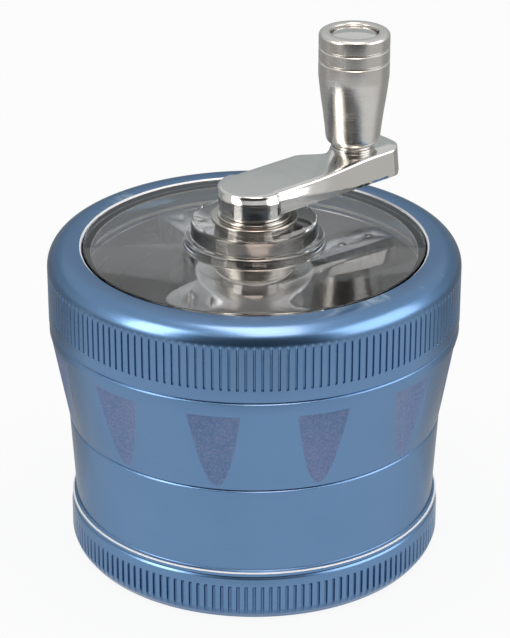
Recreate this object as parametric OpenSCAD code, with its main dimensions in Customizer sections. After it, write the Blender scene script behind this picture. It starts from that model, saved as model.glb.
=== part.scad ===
// Hand-crank herb grinder: a base cup, a storage ring with a screen, a grinding
// chamber and a window lid with a crank. The sections are stacked on one axis.
// The origin is the centre of the resting face, +Z is up and the front faces -Y.

/* [Sections] */
// Outer diameter of the lid, the widest section
body_d = 63.5; // [60:0.5:70]
// Outer diameter of the base cup
base_d = 58.2; // [54:0.1:62]
// Height of the base cup up to its seam
base_h = 7.35; // [6:0.05:12]
// Height of the storage ring between its seams
storage_h = 14.95; // [13:0.05:26]
// Height of the grinding chamber between its seams
chamber_h = 15.75; // [14:0.05:24]
// Height of the lid from its seam to its flat top
lid_h = 11.75; // [10.5:0.05:16]
// How far the storage ring is set back from the base's outside
storage_step = 0.8; // [0.4:0.1:1.5]
// Growth in radius of the storage ring from foot to top
storage_flare = 0.75; // [0:0.05:1.2]
// Height of the straight band at the top of the grinding chamber
chamber_band_h = 1.6; // [1:0.1:3]
// Radius of the lid's rounded shoulder
shoulder_r = 3; // [1:0.1:3.2]
// Edge break along each seam
edge_break = 0.2; // [0.1:0.05:0.3]

/* [Walls] */
// Wall of the base cup behind its outside
base_wall = 2.8; // [2.4:0.1:3.4]
// Wall of each screwed collar
collar_wall = 1.8; // [1.4:0.1:2.2]
// Height of the base cup's screwed collar
base_collar_h = 4.6; // [3:0.1:5]
// Height of the grinding chamber's screwed lower collar
chamber_collar_h = 4; // [3:0.1:5]
// Height of the grinding chamber's upper collar, inside the lid
lid_collar_h = 4; // [3:0.1:4.5]
// Wall of the lid around the upper collar
lid_wall = 2.85; // [2.4:0.05:3.3]
// Wall of the grinding chamber's upper collar
upper_collar_wall = 2.6; // [2:0.1:3]
// Thickness of the base cup's floor
base_floor = 1.8; // [1.2:0.1:2.5]
// Thickness of the grinding chamber's floor
chamber_floor = 3; // [2:0.1:3.5]
// Depth of the turned recess under the base cup
recess_depth = 0.3; // [0.1:0.05:0.6]
// Diameter of the turned recess under the base cup
recess_d = 44; // [30:1:48]

/* [Knurls] */
// Number of ribs around the lid
lid_ribs = 164; // [80:4:200]
// Number of ribs around the base cup
base_ribs = 148; // [80:4:200]
// Depth of the lid's knurl
lid_knurl_depth = 0.3; // [0.1:0.05:0.4]
// Depth of the base cup's knurl
base_knurl_depth = 0.35; // [0.1:0.05:0.4]
// Share of the lid's pitch that a rib takes
lid_rib_share = 0.68; // [0.4:0.02:0.8]
// Share of the base's pitch that a rib takes
base_rib_share = 0.58; // [0.4:0.02:0.8]
// Height of the lid's knurled band
lid_knurl_h = 6.6; // [4:0.1:7]
// Plain band below the lid's knurl
lid_plain_h = 2.05; // [1:0.05:3]
// Height of the base's knurled band
base_knurl_h = 5.6; // [3:0.1:5.8]
// Plain band below the base's knurl
base_plain_h = 0.3; // [0.1:0.05:0.6]

/* [Finger scoops] */
// Number of finger scoops around the grinding chamber
scoops = 12; // [6:1:16]
// Direction of the first scoop, from +X towards +Y
scoop_angle = 19; // [0:1:59]
// Width of a scoop at its flat top, across the chamber's outside
scoop_w = 8.4; // [5:0.1:9]
// Depth of a scoop at its flat top
scoop_depth = 0.95; // [0.4:0.05:1.2]
// Plain height left above a scoop, below the chamber's band
scoop_top_gap = 0.65; // [0.3:0.05:2]
// Plain height left below a scoop's tip
scoop_tip_gap = 0.8; // [0.4:0.05:3]

/* [Screen] */
// Thickness of the woven screen
mesh_t = 0.25; // [0.15:0.05:0.5]
// Thickness of the gasket below the screen
gasket_t = 0.4; // [0.2:0.05:0.6]
// Height of the ring that holds the screen down
screen_ring_h = 1.2; // [0.8:0.1:1.6]
// Width of the ledge that carries the screen
screen_ledge_w = 1.6; // [1:0.1:2]
// Thickness of the ledge that carries the screen
screen_ledge_t = 0.8; // [0.5:0.1:1.2]

/* [Grinding teeth] */
// Radius of a drain hole in the chamber's floor
hole_r = 1.6; // [1:0.1:1.8]
// Pitch radius of the innermost row of holes and rotor teeth
first_row_r = 11; // [10.5:0.1:11.5]
// Gap between the outermost fixed teeth and the chamber's wall
tooth_wall_gap = 1.65; // [0.8:0.05:2]
// Holes in the innermost row
first_row_holes = 12; // [8:1:14]
// Holes that each further row gains
row_gain = 6; // [2:1:8]
// Width of a tooth across its points, along the radius
tooth_w = 2; // [1:0.1:2.2]
// Length of a tooth across its points, around the axis
tooth_l = 3.2; // [2:0.1:4]
// Gap between a rotor tooth's end and the chamber's floor
tooth_gap = 0.8; // [0.4:0.1:2]
// Free height above the fixed teeth, below the rotor's arms
loading_gap = 3.8; // [1:0.1:5]
// Number of fixed teeth in the innermost row of the chamber
fixed_teeth = 6; // [4:1:10]

/* [Window] */
// Diameter of the clear window
window_d = 52.4; // [48:0.1:54]
// Thickness of the clear window
window_t = 2.8; // [2:0.1:3.5]
// Thickness of the seal below the window
window_seal_t = 0.3; // [0.1:0.05:0.5]
// Width of the ledge that carries the window
window_ledge_w = 1.3; // [0.8:0.1:2]
// Thickness of the ledge that carries the window
window_ledge_t = 1.6; // [1:0.1:2.5]
// Width of the bright bevel around the window
rim_bevel = 0.25; // [0.1:0.05:0.4]
// Diameter of the foot of the window's boss
boss_foot_d = 21.6; // [20.5:0.1:24]
// Height of the foot of the window's boss
boss_foot_h = 1.6; // [0.8:0.1:2.4]
// Diameter of the window's boss
boss_d = 19.4; // [15:0.1:20]
// Height of the window's boss above its foot
boss_h = 2.5; // [1.5:0.1:4]

/* [Crank bearing] */
// Outer diameter of the shaft bushing
bushing_d = 12.2; // [11:0.1:13]
// Diameter of the bushing's flange
bushing_flange_d = 13.2; // [13:0.1:15]
// Thickness of the bushing's flange
bushing_flange_t = 0.5; // [0.3:0.05:1]
// Length of the bushing below the window
bushing_tail = 2.55; // [1:0.05:3.5]
// Diameter of the drive shaft where it turns in the bushing
shaft_d = 7; // [6:0.1:8]
// Diameter of the drive shaft's collar
shaft_collar_d = 9.8; // [9:0.1:11]
// Height of the drive shaft's collar
shaft_collar_h = 0.8; // [0.5:0.05:1.5]
// Width of the drive shaft's square ends
shaft_square = 4.6; // [4:0.1:4.9]
// Thickness of the washer above the bushing
upper_washer_t = 0.35; // [0.2:0.05:0.6]
// Diameter of the washer above the bushing
upper_washer_d = 11.2; // [10:0.1:12.5]
// Thickness of the thrust washer below the bushing
lower_washer_t = 0.3; // [0.2:0.05:0.8]
// Diameter of the thrust washer below the bushing
lower_washer_d = 11.8; // [10:0.1:14]

/* [Rotor] */
// Diameter of the rotor's hub at its arms
rotor_hub_d = 18; // [16:0.1:19]
// Diameter of the rotor's stem below its arms
rotor_stem_d = 13; // [12:0.1:14]
// Height of the rotor's hub at its arms
rotor_hub_h = 4.2; // [4:0.1:6]
// Number of rotor arms
rotor_arms = 4; // [2:1:5]
// Direction of the first rotor arm, from +X towards +Y
rotor_angle = 33; // [0:1:89]
// Width of a rotor arm
rotor_arm_w = 4.4; // [3.6:0.1:5]
// Height of a rotor arm
rotor_arm_h = 3.4; // [2.5:0.1:4]
// Drop of the arms' tops below the top of the rotor's hub
rotor_arm_drop = 0.2; // [0.1:0.05:0.6]
// Gap between a rotor arm's end and the chamber's wall
rotor_tip_gap = 2; // [0.5:0.1:3]
// Diameter of each centring magnet
magnet_d = 8; // [6:0.1:9]
// Thickness of each centring magnet
magnet_t = 2.2; // [1.5:0.1:2.6]
// Gap between the two magnets' faces
magnet_gap = 0.5; // [0.3:0.05:1]
// Height of the post that holds the chamber's magnet
post_h = 4.1; // [3.4:0.1:5]
// Diameter of the post that holds the chamber's magnet
post_d = 11; // [10:0.1:12.5]
// Diameter of the rotor screw's thread
screw_d = 3; // [2.5:0.1:3]
// Diameter of the rotor screw's head
screw_head_d = 5.5; // [5:0.1:6.5]
// Height of the rotor screw's head
screw_head_h = 1.7; // [1.2:0.1:2.2]
// Length of the rotor screw's thread inside the drive shaft
screw_grip = 6; // [4:0.1:7]

/* [Crank] */
// Direction of the crank, from +X towards +Y
crank_angle = 41; // [0:1:359]
// Distance from the crank's axis to the knob's axis
crank_length = 20.3; // [19:0.1:30]
// Distance from the knob's axis to the crank's end
crank_end = 5.9; // [5:0.1:7]
// Diameter of the crank's hub
crank_hub_d = 12; // [11:0.1:14]
// Height of the crank's hub
crank_hub_h = 3.7; // [3.2:0.1:6]
// Thickness of the hub's bright upper slope
crank_slope_h = 1.3; // [0.8:0.1:2]
// Width of the crank's flat top
crank_top_w = 9.5; // [8:0.1:11]
// Width of the crank at its parting line
crank_w = 11; // [10:0.1:13]
// Rise of the knob's pad above the hub
pad_rise = 0.9; // [0.2:0.1:2]
// How far the waist beside the knob cuts into the flat top
waist = 2.2; // [0:0.1:2.4]

/* [Knob] */
// Height of the knob's grip
knob_h = 18.5; // [15:0.1:30]
// Diameter of the knob's head
knob_d = 11; // [9:0.1:14]
// Diameter of the knob just above its foot
knob_waist_d = 8.4; // [7.5:0.1:9]
// Height of the knob's straight head
knob_head_h = 6.9; // [6:0.1:9]
// Depth of the grooves around the knob's head
knob_groove = 0.25; // [0.1:0.05:0.4]
// Diameter of the knob's pin
knob_pin_d = 4; // [3:0.1:4.5]
// Diameter of the pin's domed head
pin_head_d = 7.1; // [6:0.1:7.6]
// Height of the pin's domed head
pin_head_h = 1.15; // [1:0.05:2]
// Depth of the recess that the pin's head sits in
pin_recess = 1.2; // [1:0.05:2]
// Gap around the pin's head
pin_head_gap = 0.2; // [0.1:0.05:0.4]
// Thickness of the washer below the knob
knob_washer_t = 0.35; // [0.2:0.05:0.6]
// Diameter of the washer below the knob
knob_washer_d = 6.8; // [5.5:0.1:7.5]

/* [Clearances] */
// Gap between stacked sections at a seam
seam_gap = 0.05; // [0.02:0.01:0.1]
// Radial clearance of a screwed or slip-on collar
collar_clear = 0.1; // [0.05:0.01:0.15]
// Radial clearance of a running fit
run_clear = 0.05; // [0.02:0.01:0.08]
// Radial clearance of a piece that is pressed or clamped in its seat
seat_clear = 0.05; // [0.02:0.01:0.1]
// End play of the crank and of the knob
end_play = 0.05; // [0.02:0.01:0.1]

/* [Hidden] */
$fn = 96;

// Overlap that a cut needs to pass a face
cut = 1;

// Levels of the seams
storage_z = base_h;
chamber_z = storage_z + storage_h;
lid_z = chamber_z + chamber_h;
top_z = lid_z + lid_h;

// Radii of the outside
base_r = base_d / 2;
storage_foot_r = base_r - storage_step;
storage_top_r = storage_foot_r + storage_flare;
body_r = body_d / 2;
chamber_top_r = body_r - 0.05;

// Foot of the base cup and the flared foot of the storage ring
foot_inset = 1.07;
foot_h = 2;
flare_h = 0.75;
flare_bevel_h = 0.3;

// Joint between the base cup and the storage ring
base_joint_r = base_r - base_wall;
base_cavity_r = base_joint_r - collar_wall;
base_collar_z = storage_z + base_collar_h;
collar_end_gap = 0.3;

// Joint between the storage ring and the grinding chamber
chamber_joint_r = storage_top_r - 2.7;
chamber_drain_r = chamber_joint_r - collar_wall - 0.6;
chamber_collar_z = chamber_z - chamber_collar_h;

// Joint between the grinding chamber and the lid
lid_joint_r = body_r - lid_wall - collar_clear;
chamber_bore_r = min(lid_joint_r - upper_collar_wall, storage_top_r - 2.9);
lid_collar_z = lid_z + lid_collar_h;
slip_t = 0.6;
slip_w = 1.9;
slip_z = lid_collar_z + seam_gap;
lid_shelf_z = slip_z + slip_t + seam_gap;

// Stack of the screen, from its ledge up
screen_seat_r = min(base_joint_r, chamber_joint_r) - 0.7;
ledge_z = base_collar_z + collar_end_gap;
gasket_z = ledge_z + screen_ledge_t;
mesh_z = gasket_z + gasket_t;
screen_ring_z = mesh_z + mesh_t;
screen_ring_top = screen_ring_z + screen_ring_h;
screen_open_r = screen_seat_r - screen_ledge_w;

// Floor of the grinding chamber
drain_z = chamber_z + 0.6;
floor_z = drain_z + chamber_floor;

// Window and its bearing, from the flat top down
window_r = window_d / 2;
window_z = top_z - window_t;
seal_z = window_z - window_seal_t;
window_ledge_z = seal_z - window_ledge_t;
window_open_r = window_r - window_ledge_w;
window_gap = 0.3;
boss_foot_z = top_z + boss_foot_h;
boss_z = boss_foot_z + boss_h;
flange_z = boss_z + bushing_flange_t;
bushing_z = window_z - bushing_tail;
lower_washer_z = bushing_z - end_play - lower_washer_t;
upper_washer_z = flange_z + end_play;
collar_z = upper_washer_z + upper_washer_t + end_play;
crank_z = collar_z + shaft_collar_h;

// Rotor, hung from the drive shaft
rotor_top = lower_washer_z - end_play;
rotor_arm_top = rotor_top - rotor_arm_drop;
rotor_arm_z = rotor_arm_top - rotor_arm_h;
rotor_hub_z = rotor_top - rotor_hub_h;
post_top = floor_z + post_h;
rotor_foot_z = post_top + magnet_gap;
head_z = rotor_foot_z + magnet_t + 0.2;
head_top = head_z + screw_head_h;
square_z = head_top + 1.2;
rotor_arm_r = chamber_bore_r - rotor_tip_gap;
magnet_r = magnet_d / 2;

// Rows of teeth: the rotor's rows stand over the holes, the fixed rows between
rows = [0, 1, 2];
row_pitch = (chamber_bore_r - tooth_wall_gap - tooth_w / 2 - first_row_r) / 2.5;
fixed_row_r = [for (i = rows) first_row_r + (i + 0.5) * row_pitch];
rotor_tooth_z = floor_z + tooth_gap;
fixed_tooth_top = rotor_arm_z - loading_gap;
tooth_root = 0.6;

// Crank, in its own frame along +X
pad_z = crank_z + crank_hub_h + pad_rise;
crank_top = crank_z + crank_hub_h;
parting_z = crank_top - crank_slope_h;
knob_z = pad_z + knob_washer_t + end_play;
knob_top = knob_z + knob_h;
socket_depth = crank_hub_h - 1.2;

// Points of a circular arc in the profile plane
function arc(cr, cz, r, from, to, n) =
    [for (i = [0 : n]) let (a = from + (to - from) * i / n) [cr + r * cos(a), cz + r * sin(a)]];

// Outline of a knurled circle, with flat-topped ribs between narrow grooves
function knurl(r, depth, ribs, share) =
    [for (i = [0 : ribs - 1], c = [[-0.5, 1], [0.5, 1], [0.62, 0], [-0.62, 0]])
        let (
            groove = c[1] == 0,
            turn = groove ? i + (c[0] > 0 ? share / 2 + 0.08 : 1 - share / 2 - 0.08)
                          : i + c[0] * share,
            radius = r - (groove ? depth : 0)
        )
        [radius * cos(360 * turn / ribs), radius * sin(360 * turn / ribs)]];

// Solid of revolution about +Z
module turned(points) {
    rotate_extrude() polygon(points);
}

// Plain ring between two radii
module ring(r_in, r_out, z, h) {
    turned([[r_in, z], [r_out, z], [r_out, z + h], [r_in, z + h]]);
}

// Ring of grooves that is cut from a knurled band
module knurl_cut(r, depth, ribs, share, z, h) {
    translate([0, 0, z]) linear_extrude(h) difference() {
        circle(r + cut);
        polygon(knurl(r + 0.02, depth + 0.02, ribs, share));
    }
}

// Copies around the axis
module around(n, from = 0) {
    for (i = [0 : n - 1]) rotate(from + 360 * i / n) children();
}

// Diamond-shaped tooth standing on a radius
module tooth(r, z, h) {
    translate([r, 0, z]) linear_extrude(h)
        polygon([[-tooth_w / 2, 0], [0, -tooth_l / 2], [tooth_w / 2, 0], [0, tooth_l / 2]]);
}

module base_cup() {
    floor_fillet = 0.8;
    color([0.28, 0.42, 0.58]) difference() {
        turned(concat(
            [[0, recess_depth], [recess_d / 2, recess_depth], [recess_d / 2, 0],
             [base_r - foot_inset, 0], [base_r - foot_inset / 3, foot_h / 2], [base_r, foot_h],
             [base_r, storage_z - 1.3], [base_r - 0.15, storage_z - 0.3],
             [base_r - 0.15 - edge_break, storage_z],
             [base_joint_r, storage_z], [base_joint_r, base_collar_z - edge_break],
             [base_joint_r - edge_break, base_collar_z],
             [base_cavity_r, base_collar_z]],
            arc(base_cavity_r - floor_fillet, base_floor + floor_fillet, floor_fillet, 0, -90, 6),
            [[0, base_floor]]
        ));
        knurl_cut(base_r, base_knurl_depth, base_ribs, base_rib_share, base_plain_h, base_knurl_h);
    }
}

module storage_ring() {
    z0 = storage_z + seam_gap;
    color([0.33, 0.46, 0.62]) turned([
        [base_joint_r + collar_clear, z0],
        [base_r - 0.15 - edge_break, z0],
        [base_r - 0.15, z0 + edge_break],
        [base_r - 0.15, storage_z + flare_h],
        [storage_foot_r, storage_z + flare_h + flare_bevel_h],
        [storage_top_r, chamber_z - seam_gap - edge_break],
        [storage_top_r - edge_break, chamber_z - seam_gap],
        [chamber_joint_r + collar_clear, chamber_z - seam_gap],
        [chamber_joint_r + collar_clear, chamber_collar_z - collar_end_gap],
        [screen_seat_r, chamber_collar_z - collar_end_gap],
        [screen_seat_r, gasket_z],
        [screen_open_r, gasket_z],
        [screen_open_r, ledge_z],
        [base_joint_r + collar_clear, ledge_z]
    ]);
}

module screen_gasket() {
    color([0.16, 0.16, 0.17])
        ring(screen_open_r + 0.1, screen_seat_r - seat_clear, gasket_z, gasket_t);
}

module screen_mesh() {
    color([0.66, 0.67, 0.68]) translate([0, 0, mesh_z])
        cylinder(r = screen_seat_r - seat_clear, h = mesh_t);
}

module screen_ring() {
    color([0.62, 0.64, 0.66]) turned([
        [screen_open_r + 0.3, screen_ring_z],
        [screen_seat_r - seat_clear, screen_ring_z],
        [screen_seat_r - seat_clear, screen_ring_top],
        [screen_open_r + 0.8, screen_ring_top],
        [screen_open_r + 0.3, screen_ring_z + screen_ring_h / 2]
    ]);
}

// Cutter of one finger scoop: a slanting cylinder whose flat end is the scoop's top
module scoop_cut() {
    tip_z = chamber_z + scoop_tip_gap;
    end_z = lid_z - chamber_band_h - scoop_top_gap;
    slope = (chamber_top_r - storage_top_r) / (chamber_h - chamber_band_h);
    tip_r = storage_top_r + slope * scoop_tip_gap;
    end_r = tip_r + slope * (end_z - tip_z) - scoop_depth;
    outside_r = end_r + scoop_depth;
    sagitta = scoop_depth - scoop_w * scoop_w / (8 * outside_r);
    cutter_r = scoop_w * scoop_w / (8 * sagitta) + sagitta / 2;
    lean = atan((end_r - tip_r) / (end_z - tip_z));
    span = (end_z - tip_z) / cos(lean);
    translate([end_r, 0, end_z]) rotate([0, 180 + lean, 0]) translate([-cutter_r, 0, 0])
        cylinder(r = cutter_r, h = span + 4 * cut);
}

module grinding_chamber() {
    band_z = lid_z - chamber_band_h;
    bevel = 0.1;
    z0 = chamber_z;
    color([0.36, 0.49, 0.65]) difference() {
        turned([
            [0, drain_z], [chamber_drain_r, drain_z], [chamber_drain_r, chamber_collar_z],
            [chamber_joint_r - edge_break, chamber_collar_z],
            [chamber_joint_r, chamber_collar_z + edge_break],
            [chamber_joint_r, z0], [storage_top_r - edge_break, z0],
            [storage_top_r + edge_break / 4, z0 + edge_break],
            [chamber_top_r - bevel, band_z - bevel], [chamber_top_r, band_z + bevel],
            [chamber_top_r, lid_z - edge_break], [chamber_top_r - edge_break, lid_z],
            [lid_joint_r, lid_z], [lid_joint_r, lid_collar_z - edge_break],
            [lid_joint_r - edge_break, lid_collar_z],
            [chamber_bore_r, lid_collar_z], [chamber_bore_r, floor_z],
            [post_d / 2, floor_z], [post_d / 2, post_top - edge_break],
            [post_d / 2 - edge_break, post_top], [0, post_top]
        ]);
        around(scoops, scoop_angle) scoop_cut();
        for (i = rows) around(first_row_holes + i * row_gain)
            translate([first_row_r + i * row_pitch, 0, drain_z - cut])
                cylinder(r = hole_r, h = chamber_floor + 2 * cut, $fn = 32);
        translate([0, 0, post_top - magnet_t - 0.1])
            cylinder(r = magnet_r + seat_clear, h = magnet_t + cut);
    }
}

module chamber_teeth() {
    color([0.36, 0.49, 0.65]) for (i = rows) around(fixed_teeth + 2 * i, 15 * i)
        tooth(fixed_row_r[i], floor_z, fixed_tooth_top - floor_z);
}

module chamber_magnet() {
    color([0.75, 0.76, 0.78]) translate([0, 0, post_top - magnet_t])
        cylinder(r = magnet_r, h = magnet_t);
}

module slip_ring() {
    color([0.92, 0.92, 0.9]) ring(lid_joint_r - slip_w, lid_joint_r - 0.1, slip_z, slip_t);
}

module lid_ring() {
    z0 = lid_z + seam_gap;
    lid_bore_r = lid_joint_r + collar_clear;
    rim_r = window_r + window_gap;
    shelf_r = lid_joint_r - slip_w;
    color([0.39, 0.52, 0.67]) difference() {
        turned(concat(
            [[lid_bore_r, z0], [body_r - edge_break, z0], [body_r, z0 + edge_break]],
            arc(body_r - shoulder_r, top_z - shoulder_r, shoulder_r, 0, 90, 10),
            [[rim_r + rim_bevel, top_z], [rim_r, top_z - rim_bevel], [rim_r, seal_z],
             [window_open_r, seal_z], [window_open_r, window_ledge_z],
             [shelf_r, window_ledge_z], [shelf_r, lid_shelf_z], [lid_bore_r, lid_shelf_z]]
        ));
        knurl_cut(body_r, lid_knurl_depth, lid_ribs, lid_rib_share, lid_z + lid_plain_h, lid_knurl_h);
    }
}

module window_seal() {
    color([0.12, 0.12, 0.13]) ring(window_open_r, window_r - 0.1, seal_z, window_seal_t);
}

module window() {
    bore_r = bushing_d / 2 + seat_clear;
    foot_r = boss_foot_d / 2;
    boss_r = boss_d / 2;
    soft = 0.4;
    color([0.85, 0.88, 0.9, 0.35]) turned(concat(
        [[bore_r, window_z], [window_r, window_z], [window_r, top_z - edge_break],
         [window_r - edge_break, top_z], [foot_r, top_z]],
        arc(foot_r - soft, boss_foot_z - soft, soft, 0, 90, 4),
        [[boss_r, boss_foot_z]],
        arc(boss_r - soft, boss_z - soft, soft, 0, 90, 4),
        [[bore_r, boss_z]]
    ));
}

module shaft_bushing() {
    bore_r = shaft_d / 2 + run_clear;
    body_r = bushing_d / 2;
    color([0.8, 0.8, 0.8]) turned([
        [bore_r, bushing_z], [body_r, bushing_z], [body_r, boss_z], [bushing_flange_d / 2, boss_z],
        [bushing_flange_d / 2, flange_z], [bore_r, flange_z]
    ]);
}

module upper_washer() {
    color([0.78, 0.78, 0.78])
        ring(shaft_d / 2 + 2 * run_clear, upper_washer_d / 2, upper_washer_z, upper_washer_t);
}

module lower_washer() {
    color([0.9, 0.9, 0.88])
        ring(shaft_d / 2 + 2 * run_clear, lower_washer_d / 2, lower_washer_z, lower_washer_t);
}

module drive_shaft() {
    square_top = crank_z + socket_depth - end_play;
    tap_r = screw_d / 2 + seat_clear;
    tap_runout = 1;
    color([0.7, 0.71, 0.72]) difference() {
        union() {
            translate([0, 0, rotor_top]) cylinder(d = shaft_d, h = collar_z - rotor_top);
            translate([0, 0, collar_z]) cylinder(d = shaft_collar_d, h = crank_z - collar_z);
            rotate(crank_angle) translate([-shaft_square / 2, -shaft_square / 2, square_z])
                cube([shaft_square, shaft_square, square_top - square_z]);
        }
        translate([0, 0, square_z - cut])
            cylinder(r = tap_r, h = cut + screw_grip + tap_runout, $fn = 32);
    }
}

module rotor() {
    hub_r = rotor_hub_d / 2;
    stem_r = rotor_stem_d / 2;
    square = shaft_square + 2 * seat_clear;
    color([0.62, 0.64, 0.67]) difference() {
        union() {
            turned([
                [0, rotor_foot_z], [stem_r - edge_break, rotor_foot_z],
                [stem_r, rotor_foot_z + edge_break], [stem_r, rotor_hub_z], [hub_r, rotor_hub_z],
                [hub_r, rotor_top - 2 * edge_break], [hub_r - 2 * edge_break, rotor_top],
                [0, rotor_top]
            ]);
            around(rotor_arms, rotor_angle) translate([0, -rotor_arm_w / 2, rotor_arm_z])
                cube([rotor_arm_r, rotor_arm_w, rotor_arm_h]);
        }
        for (i = rows) around(rotor_arms, rotor_angle)
            translate([first_row_r + i * row_pitch, 0, rotor_arm_z - cut])
                cylinder(r = tooth_root + seat_clear, h = rotor_arm_h + 2 * cut, $fn = 24);
        translate([0, 0, rotor_foot_z - cut])
            cylinder(r = magnet_r + seat_clear, h = head_z - rotor_foot_z + cut);
        translate([0, 0, head_z - cut])
            cylinder(r = screw_head_d / 2 + seat_clear, h = screw_head_h + cut + seat_clear);
        translate([0, 0, head_top - cut])
            cylinder(r = screw_d / 2 + seat_clear, h = square_z - head_top + 2 * cut, $fn = 32);
        rotate(crank_angle) translate([-square / 2, -square / 2, square_z - seat_clear])
            cube([square, square, rotor_top - square_z + cut]);
    }
}

module rotor_teeth() {
    color([0.7, 0.71, 0.73]) for (i = rows) around(rotor_arms, rotor_angle) {
        tooth(first_row_r + i * row_pitch, rotor_tooth_z, rotor_arm_z - rotor_tooth_z);
        translate([first_row_r + i * row_pitch, 0, rotor_arm_z])
            cylinder(r = tooth_root, h = rotor_arm_h - 0.2, $fn = 24);
    }
}

module rotor_screw() {
    color([0.45, 0.46, 0.48]) union() {
        translate([0, 0, head_z]) cylinder(d = screw_head_d, h = screw_head_h);
        translate([0, 0, head_top - seat_clear])
            cylinder(d = screw_d, h = screw_grip + square_z - head_top, $fn = 32);
    }
}

module rotor_magnet() {
    color([0.75, 0.76, 0.78]) translate([0, 0, rotor_foot_z]) cylinder(r = magnet_r, h = magnet_t);
}

// Cross-section of the crank at a distance along it, from its lower face to its top
module crank_slab(s, far, top, parting) {
    slope = (crank_w - crank_top_w) / 2;
    near = -crank_top_w / 2;
    under = 0.3;
    translate([s, 0, 0]) rotate([90, 0, 90]) linear_extrude(0.05) polygon([
        [near - slope + under, crank_z], [far + slope - under, crank_z],
        [far + slope, parting], [far, top], [near, top], [near - slope, parting]
    ]);
}

module crank_arm() {
    half = crank_top_w / 2;
    hub_r = crank_hub_d / 2;
    low_parting = crank_z + 0.7;
    ramp_s = crank_length - 7.4;
    waist_s = crank_length - 3.6;
    corner = 2;
    end_s = crank_length + crank_end - corner;
    mid_parting = (parting_z + low_parting) / 2;
    square = shaft_square + 2 * seat_clear;
    color([0.78, 0.78, 0.77]) rotate(crank_angle) difference() {
        union() {
            translate([0, 0, crank_z]) cylinder(r = hub_r, h = parting_z - crank_z);
            translate([0, 0, parting_z])
                cylinder(r1 = hub_r, r2 = hub_r - 1.15, h = crank_top - parting_z);
            hull() {
                crank_slab(0, half, crank_top, parting_z);
                crank_slab(ramp_s, half, crank_top, mid_parting);
            }
            hull() {
                crank_slab(ramp_s, half, crank_top, mid_parting);
                crank_slab(waist_s, half - waist, pad_z - pad_rise / 4, low_parting);
            }
            hull() {
                crank_slab(waist_s, half - waist, pad_z - pad_rise / 4, low_parting);
                crank_slab(crank_length + 1, half, pad_z, low_parting);
            }
            hull() {
                crank_slab(crank_length + 1, half, pad_z, low_parting);
                for (side = [-1, 1]) translate([end_s, side * (half - corner), low_parting])
                    cylinder(r1 = corner + 0.7, r2 = corner, h = pad_z - low_parting, $fn = 32);
                for (side = [-1, 1]) translate([end_s, side * (half - corner), crank_z])
                    cylinder(r1 = corner + 0.4, r2 = corner + 0.7, h = low_parting - crank_z, $fn = 32);
            }
        }
        translate([-square / 2, -square / 2, crank_z - cut])
            cube([square, square, socket_depth + cut]);
        translate([crank_length, 0, crank_z - cut])
            cylinder(d = knob_pin_d + 2 * seat_clear, h = pad_z - crank_z + 2 * cut);
    }
}

// Places a child over the knob's axis
module at_knob() {
    rotate(crank_angle) translate([crank_length, 0, 0]) rotate(-crank_angle) children();
}

module knob_washer() {
    color([0.5, 0.5, 0.5]) at_knob()
        ring(knob_pin_d / 2 + 2 * run_clear, knob_washer_d / 2, pad_z, knob_washer_t);
}

module knob_pin() {
    pin_foot = crank_z + 0.2;
    seat_z = knob_top - pin_recess;
    rim = 0.5;
    color([0.82, 0.82, 0.8]) at_knob() {
        translate([0, 0, pin_foot]) cylinder(d = knob_pin_d, h = seat_z + end_play - pin_foot);
        turned([
            [0, seat_z + end_play], [pin_head_d / 2, seat_z + end_play],
            [pin_head_d / 2, seat_z + rim], [pin_head_d / 2 - 0.4, seat_z + pin_head_h - 0.35],
            [pin_head_d / 4, seat_z + pin_head_h - 0.08], [0, seat_z + pin_head_h]
        ]);
    }
}

module knob_grip() {
    r = knob_d / 2;
    low_r = knob_waist_d / 2;
    bore_r = knob_pin_d / 2 + run_clear;
    seat_z = knob_top - pin_recess;
    seat_r = pin_head_d / 2 + pin_head_gap;
    head_z0 = knob_top - knob_head_h;
    round_r = 0.65;
    groove = [[0, 0.2], [-knob_groove, 0], [0, -0.2]];
    grooves_z = [knob_top - 2.4, knob_top - 4.5];
    color([0.72, 0.71, 0.69]) at_knob() turned(concat(
        [[bore_r, knob_z], [low_r - 0.85, knob_z], [low_r - 0.7, knob_z + 0.3]],
        arc(low_r - 0.75, knob_z + 1.2, 0.8, -60, 0, 4),
        [[low_r + 0.32, knob_z + 4], [r - 0.72, knob_z + 6], [r - 0.42, knob_z + 8],
         [r - 0.17, knob_z + 10], [r, head_z0]],
        [for (p = groove) [r + p[0], grooves_z[1] - p[1]]],
        [for (p = groove) [r + p[0], grooves_z[0] - p[1]]],
        arc(r - round_r, knob_top - round_r, round_r, 0, 90, 6),
        [[seat_r + 0.2, knob_top], [seat_r, knob_top - 0.2], [seat_r, seat_z], [bore_r, seat_z]]
    ));
}

base_cup();
storage_ring();
screen_gasket();
screen_mesh();
screen_ring();
grinding_chamber();
chamber_teeth();
chamber_magnet();
slip_ring();
lid_ring();
window_seal();
window();
shaft_bushing();
upper_washer();
lower_washer();
drive_shaft();
rotor();
rotor_teeth();
rotor_screw();
rotor_magnet();
crank_arm();
knob_washer();
knob_pin();
knob_grip();
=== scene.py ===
"""Blender scene of a hand-crank herb grinder.

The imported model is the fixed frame. Each class builds one sub-assembly of the
grinder on the model's own axes, gives it its finishes and lets it ride on its
body. Sizes in the classes are millimetres; meshes are written in metres.
"""
import logging
import math
from dataclasses import dataclass
from enum import Enum
from typing import Any, Callable, Sequence

import bmesh
import bpy
from mathutils import Matrix, Vector


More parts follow.
